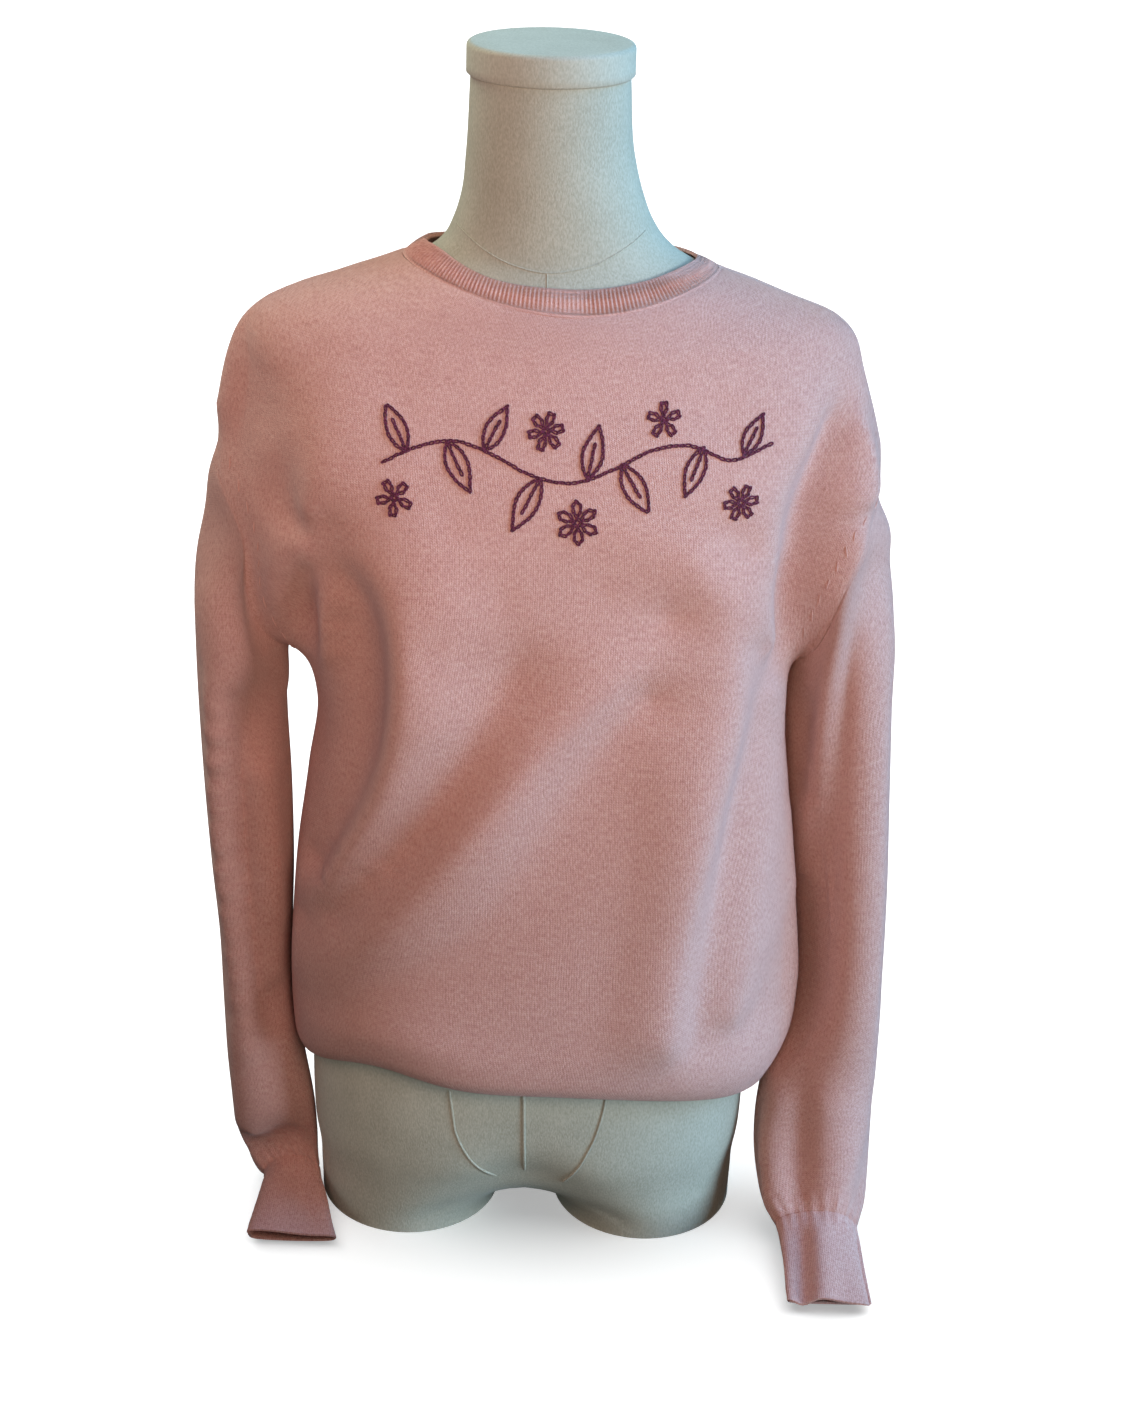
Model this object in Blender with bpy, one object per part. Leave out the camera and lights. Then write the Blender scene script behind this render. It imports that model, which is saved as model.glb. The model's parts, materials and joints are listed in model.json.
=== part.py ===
"""A fine-knit sweater worn by a limbless dress form.

Metres, +Z up, the front faces -Y, and the form stands on the ground plane at
Z = 0.  "Left" and "right" are as seen from the front: left is -X.

The form is one stack of egg-shaped sections that parts into two flat-cut
thigh stumps.  The sweater is eight cut-and-sewn pieces, each a thin wall: the
front and the back share one table of rows that runs from the tucked hem,
round the bloused fold, up the side seam, round the armhole and along the
shoulder seam to the neckline.
"""
import math

import bmesh
import bpy
import numpy as np

# ---------------------------------------------------------------- sizes
# Everything below is measured from the form's own upright axis; the part's
# origin is the middle of its whole footprint.
AXIS_FROM_ORIGIN = (-0.0095, 0.0137, 0.0)

WALL = 0.0020            # knitted cloth
RIB_WALL = 0.0026        # neckband, hem band and cuffs are rib, a little thicker
SEAM_GAP = 0.0003        # between neighbouring pieces
UNDERARM_GAP = 0.0005    # more for the corner where three pieces meet
REST = 0.0034            # outer face of the cloth to the form where it lies on it

FRONT_COLUMNS = 24       # quads across each piece
BACK_COLUMNS = 16
# Rows of quads, as places in the body's table: up the side seam, round the
# armhole and along the shoulder seam.
SIDE_PLACES = (0., .5, .85, 1.05, 1.3, 1.65, 2.1, 2.5, 2.9, 3.25, 3.6, 3.95, 4.3, 4.65, 5.)
ARMHOLE_PLACES = (5.28, 5.56, 5.83, 6.11, 6.39, 6.67, 6.94, 7.22, 7.5)
SHOULDER_PLACES = (7.95, 8.4, 8.8, 9.15, 9.55, 10.5, 11.6)
TUCK_ROWS = 4            # of them, those tucked inside the blouse
HEM_ROWS = len(SIDE_PLACES) - 1
ARMHOLE_ROWS = len(ARMHOLE_PLACES)
SLEEVE_ROWS = 21
FORM_COLUMNS = 40
STUMP_ROWS = 4
CROTCH_COLUMNS = 6

CAP_RADIUS = 0.0545
CAP_BOTTOM = 0.8222
CAP_TOP = 0.8430
CAP_EDGE = 0.0035
NECK_TOP = CAP_BOTTOM - SEAM_GAP

STUMP_CENTRE_X = 0.0855
STUMP_CENTRE_Y = 0.0020
STUMP_HALF_WIDTH = 0.0650
STUMP_HALF_DEPTH = 0.0770
STUMP_ARC = 0.56         # half turns from a stump's outer side to where the crotch begins
CROTCH_HEIGHT = 0.0250
CROTCH_DIP = 0.0060      # the form's lowest section sinks this much at its middle
CROTCH_DIP_WIDTH = 0.0400
CLEFT_WIDTH = 0.0340

BAND_ROWS = 2
NECKBAND_BULGE = 0.0008
HEM_BAND_HEIGHT = 0.0520
HEM_BAND_GRIP = 0.0012   # inner face of the hem band to the form

# Sections of the form.  cleft is how far the middle is drawn in between the
# thighs, as a share of the depth.
FORM = {
    "height":     (.040, .070, .105, .150, .200, .260, .315, .370, .430, .495, .545, .590, .620,
                   .642, .656, .665, .672, .679, .686, .693, .700, .7075, .716, .728, .745, .770, .8222),
    "half_width": (.1530, .1555, .1565, .1550, .1460, .1300, .1210, .1245, .1350, .1450, .1530, .1700, .1880,
                   .1965, .1945, .1865, .1740, .1560, .1355, .1150, .0980, .0825, .0728, .0655, .0595, .0550, .0517),
    "front":      (.0960, .1010, .1035, .1010, .0965, .0910, .0890, .0940, .1070, .1225, .1140, .1010, .0910,
                   .0835, .0780, .0745, .0715, .0680, .0645, .0605, .0565, .0530, .0515, .0510, .0512, .0515, .0517),
    "back":       (.1060, .1120, .1155, .1120, .1020, .0850, .0745, .0760, .0850, .0955, .1000, .0990, .0945,
                   .0885, .0835, .0800, .0765, .0725, .0675, .0620, .0580, .0548, .0528, .0518, .0514, .0514, .0517),
    "centre_x":   (.0, .0, .0, .0, .0, .0, .0, .0, .0, .0, .0, .0, .0,
                   .0, .0, .0, .0, .0, .002, .0035, .0045, .0055, .0052, .004, .003, .001, .0),
    "square":     (2.35, 2.35, 2.35, 2.35, 2.35, 2.3, 2.3, 2.3, 2.3, 2.3, 2.3, 2.3, 2.2,
                   2.0, 1.85, 1.75, 1.7, 1.7, 1.7, 1.72, 1.78, 1.88, 1.95, 2.0, 2.0, 2.0, 2.0),
    "cleft":      (.34, .10, .02, .0, .0, .0, .0, .0, .0, .0, .0, .0, .0,
                   .0, .0, .0, .0, .0, .0, .0, .0, .0, .0, .0, .0, .0, .0),
}

# Rows of the sweater's body, from the hem band down inside to the fold, and
# from the fold up to the neckline.  A row runs from its left end to its right
# end; left_w and right_w are where the plain trunk would end before the row
# reaches out to the sleeve; spread is how far its ends stand before and behind
# the seam's plane, crown squares the row's middle, and edge is how it meets
# its ends: 0.5 turns square to the seam, 1 runs out flat into the sleeve.
BODY = {
    "v":       (0.0, 0.5, 0.8, 1.0, 1.25, 1.6, 2.0, 2.6, 3.2, 4.0, 4.6,
                5.0, 5.28, 5.56, 5.83, 6.4, 7.0,
                7.5, 8.0, 8.5, 9.0, 9.5, 10.2, 10.9, 11.6),
    "left_x":  (-.1570, -.1592, -.1602, -.1640, -.1685, -.1710, -.1720, -.1705, -.1670, -.1585, -.1525,
                -.1625, -.1765, -.1890, -.1960, -.1970, -.2055,
                -.2205, -.2170, -.2110, -.2020, -.1870, -.1600, -.1270, -.0950),
    "left_z":  (.178, .150, .129, .1200, .1280, .150, .180, .225, .275, .340, .395,
                .428, .433, .450, .474, .512, .548,
                .578, .606, .634, .655, .6695, .6805, .6915, .7030),
    "right_x": (.1580, .1605, .1640, .1700, .1785, .1900, .1955, .1940, .1875, .1795, .1745,
                .1770, .1845, .1920, .1970, .2030, .2145,
                .2315, .2240, .2130, .2065, .1945, .1680, .1390, .1140),
    "right_z": (.178, .148, .120, .1085, .1210, .148, .182, .225, .275, .345, .395,
                .430, .434, .450, .472, .508, .538,
                .556, .594, .632, .654, .6675, .6785, .6885, .6970),
    "left_w":  (-.1570, -.1592, -.1602, -.1640, -.1685, -.1710, -.1720, -.1705, -.1670, -.1590, -.1545,
                -.1565, -.1580, -.1605, -.1650, -.1760, -.1925,
                -.2205, -.2170, -.2110, -.2020, -.1870, -.1600, -.1270, -.0950),
    "right_w": (.1580, .1605, .1640, .1700, .1785, .1900, .1955, .1940, .1875, .1795, .1742,
                .1752, .1765, .1785, .1820, .1900, .2040,
                .2315, .2240, .2130, .2065, .1945, .1680, .1390, .1140),
    "spread":  (.0, .0, .0, .0, .0, .0, .0, .0, .0, .0, .0,
                .0, .028, .041, .047, .050, .040,
                .0, .0, .0, .0, .0, .0, .0, .0),
    "crown":   (2.3, 2.3, 2.3, 2.3, 2.3, 2.3, 2.3, 2.3, 2.3, 2.3, 2.3,
                2.3, 2.3, 2.3, 2.3, 2.3, 2.3,
                2.25, 2.1, 2.0, 1.85, 1.75, 1.7, 1.72, 1.85),
    "edge":    (.46, .46, .46, .46, .46, .46, .46, .46, .46, .47, .50,
                .54, .80, .96, 1.05, 1.05, .85,
                .52, .48, .50, .54, .57, .59, .58, .54),
    "front_x": (.000, .000, .002, .004, .008, .010, .012, .012, .010, .010, .010,
                .008, .007, .006, .004, .002, .002,
                .004, .005, .006, .008, .010, .013, .016, .019),
    "front_y": (-.1050, -.1070, -.1110, -.1185, -.1265, -.1312, -.1330, -.1332, -.1325, -.1312, -.1302,
                -.1300, -.1300, -.1300, -.1295, -.1268, -.1205,
                -.1120, -.1045, -.0968, -.0900, -.0840, -.0788, -.0740, -.0697),
    "front_z": (.186, .166, .148, .1405, .1470, .165, .190, .228, .272, .335, .392,
                .430, .450, .470, .490, .523, .555,
                .583, .605, .625, .641, .6545, .665, .674, .6805),
    "back_x":  (.000, .000, .002, .004, .008, .010, .012, .012, .010, .010, .010,
                .008, .006, .005, .004, .002, .002,
                .002, .002, .002, .003, .004, .005, .006, .008),
    "back_y":  (.1160, .1185, .1215, .1275, .1335, .1360, .1352, .1290, .1215, .1130, .1090,
                .1075, .1070, .1068, .1067, .1063, .1055,
                .1035, .1005, .0962, .0914, .0862, .0798, .0707, .0650),
    "back_z":  (.180, .155, .135, .1270, .1340, .158, .190, .228, .272, .335, .392,
                .430, .450, .470, .490, .526, .562,
                .590, .611, .630, .646, .660, .6725, .6845, .6945),
}
SLEEVE_REACH = 5         # power that keeps the reach to the sleeve near a row's ends
UNDERARM_NORMAL = (0.0, 0.0, -1.0)

# The neckband by degrees round the neckline (-90 is the front): how far it
# leans in towards the neck and how far it rises.
NECKBAND = {
    "turn": (-180., -150., -120., -90., -60., -30., 0., 30., 60., 90., 120., 150., 180.),
    "lean": (.0154, .0152, .0098, .0084, .0115, .0158, .0160, .0128, .0095, .0085, .0088, .0125, .0154),
    "rise": (.0100, .0122, .0118, .0158, .0148, .0100, .0066, .0078, .0100, .0122, .0116, .0104, .0100),
}
NECKLINE_X = 0.0095
NECKLINE_HALF_WIDTH = 0.1045
NECKLINE_DEPTH = 0.0670

# The fold of the blouse rides up a little on the left of the front.
HEM_LIFT = {"x": -.112, "width": .050, "rise": .017, "v": 1.15, "reach": .75}

# Sleeves as sections down the arm: centre, half sizes, how far the section
# has tipped forward (degrees, 0 hangs and 90 lies on the ground).
SLEEVE_LEFT = {
    "x":          (-.2050, -.2050, -.2045, -.2020, -.1998, -.1980, -.1970, -.1915, -.1868, -.1840, -.1795, -.1712),
    "y":          (.0000, .0010, .0010, .0020, .0030, .0020, .0000, -.0020, -.0030, -.0045, -.0075, -.0165),
    "z":          (.470, .430, .380, .320, .260, .205, .150, .105, .070, .045, .0255, .0160),
    "half_width": (.0305, .0305, .0306, .0302, .0286, .0252, .0240, .0282, .0305, .0300, .0255, .0185),
    "half_depth": (.0540, .0530, .0510, .0480, .0460, .0430, .0400, .0380, .0340, .0290, .0210, .0130),
    "tip":        (0., 0., 0., 0., 0., 0., 2., 5., 12., 28., 52., 74.),
}
SLEEVE_RIGHT = {
    "x":          (.2098, .2112, .2146, .2190, .2235, .2278, .2280, .2245, .2150, .2102, .2085, .2085, .2092, .2110),
    "y":          (.0000, .0000, .0010, .0025, .0035, .0045, .0035, .0010, -.0050, -.0120, -.0250, -.0430, -.0610,
                   -.0790),
    "z":          (.470, .430, .380, .320, .270, .220, .180, .148, .114, .088, .0600, .0400, .0270, .0165),
    "half_width": (.0318, .0320, .0312, .0308, .0292, .0262, .0262, .0300, .0385, .0415, .0418, .0400, .0368, .0290),
    "half_depth": (.0550, .0540, .0520, .0500, .0490, .0480, .0470, .0460, .0430, .0405, .0360, .0300, .0230, .0145),
    "tip":        (0., 0., 0., 0., 0., 0., 0., 3., 9., 18., 36., 56., 71., 82.),
}
CUFF_LEFT = {
    "x": (-.1712, -.1678, -.1650), "y": (-.0165, -.0540, -.0960), "z": (.0160, .0115, .0078),
    "half_width": (.0185, .0238, .0315), "half_depth": (.0130, .0095, .0062), "tip": (74., 84., 80.),
}
CUFF_RIGHT = {
    "x": (.2110, .2130, .2145), "y": (-.0790, -.1190, -.1625), "z": (.0165, .0122, .0078),
    "half_width": (.0290, .0284, .0292), "half_depth": (.0145, .0102, .0062), "tip": (82., 86., 80.),
}
SECTION_NOSE = 0.0045    # least radius at the folded edges of a flattened tube
EASE_ACROSS = 0.14       # share of the sleeve over which the armhole widens to the plain section
EASE_DOWN = 0.30         # and over which its slant levels out

# Largest folds of the body, as strokes over a panel seen from the front.  A
# stroke bends through its middle point; height is positive for a ridge.
STROKE = ("x0", "z0", "x1", "z1", "x2", "z2", "width", "height")
FRONT_FOLDS = (
    (.085, .490, -.012, .388, -.152, .290, .028, -.0125),     # long diagonal trough to the left hip
    (.100, .455, -.004, .340, -.152, .238, .027, .0095),      # ridge along its lower side
    (.080, .385, .010, .285, -.120, .195, .028, -.0065),      # second, broader trough
    (-.085, .520, -.082, .410, -.140, .325, .030, -.0070),    # hollow under the left of the chest
    (.130, .500, .127, .370, .112, .180, .024, .0065),        # upright ridge on the right
    (-.155, .640, -.160, .590, -.158, .535, .026, -.0065),    # soft hollow below the left shoulder
    (-.125, .545, -.160, .515, -.172, .465, .016, .0060),     # ridge that turns under the left arm
    (-.140, .500, -.146, .470, -.144, .435, .018, -.0070),
    (.180, .600, .172, .530, .168, .465, .020, -.0080),       # shadowed hollow along the right armhole
)
BACK_FOLDS = (
    (-.070, .470, .020, .370, .130, .270, .028, -.0065),
    (-.090, .440, .010, .335, .135, .235, .025, .0055),
    (-.125, .500, -.120, .380, -.105, .190, .022, .0045),
    (.160, .600, .165, .540, .160, .465, .020, -.0070),
    (-.160, .610, -.163, .540, -.158, .465, .020, -.0070),
)
# Folds along a sleeve: angle round the section (degrees from its outer side
# through the front), share of the length where it starts and ends.
SLEEVE_STROKE = ("angle0", "angle1", "start", "end", "width", "height")
LEFT_SLEEVE_FOLDS = (
    (118., 125., .06, .62, 26., -.0045),
    (75., 85., .10, .50, 18., .0025),
    (25., 85., .80, .92, 26., -.0030),
)
RIGHT_SLEEVE_FOLDS = (
    (128., 135., .06, .40, 24., -.0040),
    (100., 122., .50, .97, 18., -.0060),
)

SHARP_ANGLE = 50.0       # edges sharper than this many degrees are not shaded smooth
COLOURS = {
    "wool": (0.62, 0.33, 0.29),
    "rib": (0.58, 0.29, 0.26),
    "form": (0.50, 0.48, 0.42),
    "form_cap": (0.53, 0.51, 0.45),
}


# ---------------------------------------------------------------- small tools
def smooth_curve(at, knots, values):
    """Cubic through the knots, with each tangent read from its neighbours."""
    knots = np.asarray(knots, float)
    values = np.asarray(values, float)
    slopes = np.gradient(values, knots)
    at = np.clip(np.asarray(at, float), knots[0], knots[-1])
    i = np.clip(np.searchsorted(knots, at, side="right") - 1, 0, len(knots) - 2)
    span = knots[i + 1] - knots[i]
    t = (at - knots[i]) / span
    return ((2 * t**3 - 3 * t**2 + 1) * values[i] + (t**3 - 2 * t**2 + t) * span * slopes[i]
            + (3 * t**2 - 2 * t**3) * values[i + 1] + (t**3 - t**2) * span * slopes[i + 1])


def read_table(table, key, at):
    """Every column of a table but its key, read smoothly at the given places."""
    return {name: smooth_curve(at, table[key], column) for name, column in table.items() if name != key}


def unit(vectors):
    return vectors / np.maximum(np.linalg.norm(vectors, axis=-1, keepdims=True), 1e-12)


def ramp(t):
    t = np.clip(t, 0.0, 1.0)
    return t * t * (3.0 - 2.0 * t)


def section_angles(count):
    return np.linspace(0.0, 2.0 * math.pi, count, endpoint=False)


# ---------------------------------------------------------------- the form's surface
def form_level(points):
    """1 on the form's surface, more outside, from the section at each point's height."""
    section = read_table(FORM, "height", points[..., 2])
    x = (points[..., 0] - section["centre_x"]) / section["half_width"]
    depth = np.where(points[..., 1] < 0.0, section["front"], section["back"])
    y = points[..., 1] / depth
    return (np.abs(x)**section["square"] + np.abs(y)**section["square"])**(1.0 / section["square"])


def form_distance(points):
    """Distance to the form and the outward direction, both to first order."""
    step = 0.0005
    level = form_level(points)
    slope = np.stack([(form_level(points + step * axis) - form_level(points - step * axis)) / (2 * step)
                      for axis in np.eye(3)], axis=-1)
    size = np.linalg.norm(slope, axis=-1)
    return (level - 1.0) / size, slope / size[..., None]


def off_form(points, clearance, above=0.105):
    """Push out the points that lie nearer to the form than the clearance."""
    points = points.copy()
    for _ in range(6):
        distance, outward = form_distance(points)
        short = np.maximum(clearance - distance, 0.0) * (points[..., 2] > above)
        points += short[..., None] * outward
    return points


def onto_form(points, clearance):
    """Lay the points on the form, the clearance away from it."""
    points = points.copy()
    for _ in range(8):
        distance, outward = form_distance(points)
        outward[..., 2] = 0.0
        points += (clearance - distance)[..., None] * outward
    return points


# ---------------------------------------------------------------- meshes
def add_object(name, vertices, faces, colour, roughness):
    mesh = bpy.data.meshes.new(name)
    mesh.from_pydata([tuple(map(float, v)) for v in vertices], [], faces)
    tidy = bmesh.new()
    tidy.from_mesh(mesh)
    bmesh.ops.recalc_face_normals(tidy, faces=tidy.faces)
    tidy.to_mesh(mesh)
    tidy.free()
    mesh.shade_smooth()
    mesh.set_sharp_from_angle(angle=math.radians(SHARP_ANGLE))
    material = bpy.data.materials.new(name + "_material")
    material.use_nodes = True
    shader = material.node_tree.nodes["Principled BSDF"]
    shader.inputs["Base Color"].default_value = (*colour, 1.0)
    shader.inputs["Roughness"].default_value = roughness
    shader.inputs["Metallic"].default_value = 0.0
    mesh.materials.append(material)
    piece = bpy.data.objects.new(name, mesh)
    piece.location = AXIS_FROM_ORIGIN
    bpy.context.collection.objects.link(piece)
    return piece


def grid_faces(rows, columns, closed):
    """Quads of a grid of points, row by row; closed joins each row's ends."""
    wrap = columns if closed else columns - 1
    return [(r * columns + c, r * columns + (c + 1) % columns,
             (r + 1) * columns + (c + 1) % columns, (r + 1) * columns + c)
            for r in range(rows - 1) for c in range(wrap)]


def grid_border(rows, columns, closed):
    """The runs of grid points along the open edges of a grid."""
    first = [c for c in range(columns)]
    last = [(rows - 1) * columns + c for c in range(columns)]
    if closed:
        return [first + first[:1], last + last[:1]]
    side = [r * columns for r in range(rows)]
    far = [r * columns + columns - 1 for r in range(rows)]
    return [first, last, side, far]


def halved(quads, vertices):
    """Each quad cut along its shorter diagonal."""
    halves = []
    for a, b, c, d in quads:
        if np.linalg.norm(vertices[a] - vertices[c]) < np.linalg.norm(vertices[b] - vertices[d]):
            halves += [(a, b, c), (a, c, d)]
        else:
            halves += [(a, b, d), (b, c, d)]
    return halves


def cloth_wall(name, outer, normals, wall, closed, colour):
    """A panel of cloth: its outer face, the same face a wall further in, and the cut edges."""
    rows, columns = outer.shape[:2]
    inner = outer - wall * normals
    vertices = np.concatenate([outer.reshape(-1, 3), inner.reshape(-1, 3)])
    shift = rows * columns
    faces = halved(grid_faces(rows, columns, closed), vertices)
    faces += [(c + shift, b + shift, a + shift) for a, b, c in faces]
    for run in grid_border(rows, columns, closed):
        faces += halved([(a, b, b + shift, a + shift) for a, b in zip(run, run[1:])], vertices)
    return add_object(name, vertices, faces, colour, 0.9)


def grid_normals(grid, closed, outward_sign=1.0):
    """Normals of a grid from its own rows and columns."""
    if closed:
        across = np.roll(grid, -1, axis=1) - np.roll(grid, 1, axis=1)
    else:
        across = np.gradient(grid, axis=1)
    along = np.gradient(grid, axis=0)
    return unit(np.cross(across, along)) * outward_sign


def trimmed(edge, inside, closed, gap):
    """An edge run moved half a seam gap into its piece, square to the run."""
    if closed:
        run = np.roll(edge, -1, axis=0) - np.roll(edge, 1, axis=0)
    else:
        run = np.gradient(edge, axis=0)
    run = unit(run)
    inwards = inside - edge
    inwards = unit(inwards - (inwards * run).sum(axis=1, keepdims=True) * run)
    return edge + inwards * gap / 2


def trim_panel(panel):
    """Trim the seam gap off all four edges of a front or back."""
    whole = panel.copy()
    for edge, inside in ((0, 1), (-1, -2)):
        panel[edge] += trimmed(whole[edge], whole[inside], False, SEAM_GAP) - whole[edge]
        panel[:, edge] += trimmed(whole[:, edge], whole[:, inside], False, SEAM_GAP) - whole[:, edge]


def trim_tube(tube, *edges):
    """Trim the seam gap off the first or last row of a tube."""
    for edge in edges:
        tube[edge] = trimmed(tube[edge], tube[1 if edge == 0 else -2], True, SEAM_GAP)


# ---------------------------------------------------------------- folds
def stroke_share(points_x, points_z, stroke):
    """How strongly a stroke acts on each point: 1 on its line, fading over its width and ends."""
    s = dict(zip(STROKE, stroke))
    t = np.linspace(0.0, 1.0, 17)
    middle_x = 2 * s["x1"] - (s["x0"] + s["x2"]) / 2
    middle_z = 2 * s["z1"] - (s["z0"] + s["z2"]) / 2
    line_x = (1 - t)**2 * s["x0"] + 2 * t * (1 - t) * middle_x + t**2 * s["x2"]
    line_z = (1 - t)**2 * s["z0"] + 2 * t * (1 - t) * middle_z + t**2 * s["z2"]
    away = np.hypot(points_x[..., None] - line_x, points_z[..., None] - line_z)
    nearest = np.argmin(away, axis=-1)
    along = t[nearest]
    fade = np.sin(math.pi * np.clip(along, 0.06, 0.94))**0.7
    return np.exp(-(away.min(axis=-1) / s["width"])**2) * fade * s["height"]


def fold_panel(grid, normals, strokes):
    """Press the strokes into a panel; the tucked layer inside the blouse stays plain."""
    height = sum(stroke_share(grid[..., 0], grid[..., 2], stroke) for stroke in strokes)
    outside = ramp((body_row_places() - 1.3) / 0.8)[:, None]
    return grid + normals * (height * outside)[..., None]


def fold_sleeve(grid, normals, angles, strokes):
    """Press folds that run along a sleeve."""
    rows = np.linspace(0.0, 1.0, grid.shape[0])[:, None]
    height = np.zeros(grid.shape[:2])
    for stroke in strokes:
        s = dict(zip(SLEEVE_STROKE, stroke))
        share = np.clip((rows - s["start"]) / (s["end"] - s["start"]), 0.0, 1.0)
        line = s["angle0"] + (s["angle1"] - s["angle0"]) * share
        away = (np.degrees(angles)[None, :] - line + 180.0) % 360.0 - 180.0
        fade = ramp((rows - s["start"]) / 0.10 + 0.3) * ramp((s["end"] - rows) / 0.10 + 0.3)
        height += s["height"] * fade * np.exp(-(away / s["width"])**2)
    return grid + normals * height[..., None]


# ---------------------------------------------------------------- the sweater's body
def body_row_places():
    return np.array(SIDE_PLACES + ARMHOLE_PLACES + SHOULDER_PLACES)


def body_half(side):
    """The grid of the front (side -1) or the back (side 1), row by row."""
    rows = read_table(BODY, "v", body_row_places())
    for name in rows:
        rows[name] = rows[name][:, None]
    rows["spread"] = np.maximum(rows["spread"], 0.0)
    which = "front" if side < 0 else "back"
    count = FRONT_COLUMNS if side < 0 else BACK_COLUMNS
    turn = np.linspace(-math.pi / 2, math.pi / 2, count + 1)[None, :]
    reach = np.sin(turn)
    if side > 0:
        reach = -reach
    middle = rows[which + "_x"]
    end_x = np.where(reach < 0, rows["left_x"], rows["right_x"])
    end_z = np.where(reach < 0, rows["left_z"], rows["right_z"])
    trunk_x = np.where(reach < 0, rows["left_w"], rows["right_w"])
    crown = (1.0 - np.abs(reach)**rows["crown"])**rows["edge"]
    x = middle + (trunk_x - middle) * np.abs(reach) + (end_x - trunk_x) * np.abs(reach)**SLEEVE_REACH
    end_y = side * rows["spread"]
    y = end_y + (rows[which + "_y"] - end_y) * crown
    z = rows[which + "_z"] + (end_z - rows[which + "_z"]) * reach**2
    if side < 0:
        near_fold = np.exp(-((body_row_places()[:, None] - HEM_LIFT["v"]) / HEM_LIFT["reach"])**2)
        z = z + HEM_LIFT["rise"] * near_fold * np.exp(-((x - HEM_LIFT["x"]) / HEM_LIFT["width"])**2)
    return np.stack([x, y, z], axis=-1)


def armhole_loop(front, back, side):
    """The points round an armhole: from its top down the front and up the back."""
    first = HEM_ROWS
    last = HEM_ROWS + ARMHOLE_ROWS
    front_end = front[first:last + 1, 0 if side < 0 else -1]
    back_end = back[first:last + 1, -1 if side < 0 else 0]
    return np.concatenate([front_end[::-1], back_end[1:-1]])


# ---------------------------------------------------------------- sleeves and cuffs
def tube_section(row, angles, side):
    """A flattened round section: an oval with rounded noses, tipped forward."""
    nose = np.minimum(SECTION_NOSE, row["half_depth"] * 0.9)
    wide = row["half_width"] - nose
    deep = row["half_depth"] - nose
    across = np.cos(angles)
    behind = -np.sin(angles)
    normal_x = across * deep + 1e-9
    normal_d = behind * wide
    size = np.hypot(normal_x, normal_d)
    x = side * (wide * across + nose * normal_x / size)
    d = deep * behind + nose * normal_d / size
    tip = math.radians(row["tip"])
    return np.stack([row["x"] + x, row["y"] + d * math.cos(tip), row["z"] - d * math.sin(tip)], axis=-1)


def tube_rows(table, count, angles, side, start=0.0):
    knots = {"place": tuple(np.linspace(0.0, 1.0, len(table["x"]))), **table}
    places = np.linspace(start, 1.0, count)
    rows = read_table(knots, "place", places)
    return np.stack([tube_section({name: rows[name][i] for name in rows}, angles, side) for i in range(count)])


def sleeve_grid(table, loop, side):
    """Sections down the sleeve; near the top they turn into the armhole's own loop."""
    angles = section_angles(2 * ARMHOLE_ROWS)
    plain = tube_rows(table, SLEEVE_ROWS + 1, angles, side)
    places = np.linspace(0.0, 1.0, SLEEVE_ROWS + 1)
    across = ramp(places / EASE_ACROSS)
    down = ramp(places / EASE_DOWN)
    ease = np.stack([across, across, down], axis=-1)[:, None, :]
    lowered = loop[None] + plain - plain[:1]
    return lowered * (1 - ease) + plain * ease, angles


# ---------------------------------------------------------------- bands
def band_between(lower, upper, rows):
    t = np.linspace(0.0, 1.0, rows + 1)[:, None, None]
    return lower[None] * (1 - t) + upper[None] * t


def neckband_grid(loop):
    """The rib band stands on the neckline and leans in towards the neck."""
    turn = np.arctan2(loop[:, 1] / NECKLINE_DEPTH, (loop[:, 0] - NECKLINE_X) / NECKLINE_HALF_WIDTH)
    band = read_table(NECKBAND, "turn", np.degrees(turn))
    outward = np.stack([np.cos(turn), np.sin(turn), np.zeros_like(turn)], axis=-1)
    upper = loop - outward * band["lean"][:, None]
    upper[:, 2] += band["rise"]
    grid = band_between(loop, upper, BAND_ROWS)
    grid[1] += grid_normals(grid, True)[1] * NECKBAND_BULGE
    return off_form(grid, REST)


def hem_band_grid(loop):
    """The hem rib is turned up inside and grips the form's hips."""
    upper = loop.copy()
    upper[:, 2] += HEM_BAND_HEIGHT
    grid = band_between(loop, upper, BAND_ROWS)
    grid[1:] = onto_form(grid[1:], HEM_BAND_GRIP)
    return grid


# ---------------------------------------------------------------- the whole garment
def shared_normals(places):
    """Give every piece that meets at a seam the same normal there."""
    total = sum(normals[index] for normals, index in places)
    common = unit(total)
    for normals, index in places:
        normals[index] = common


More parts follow.
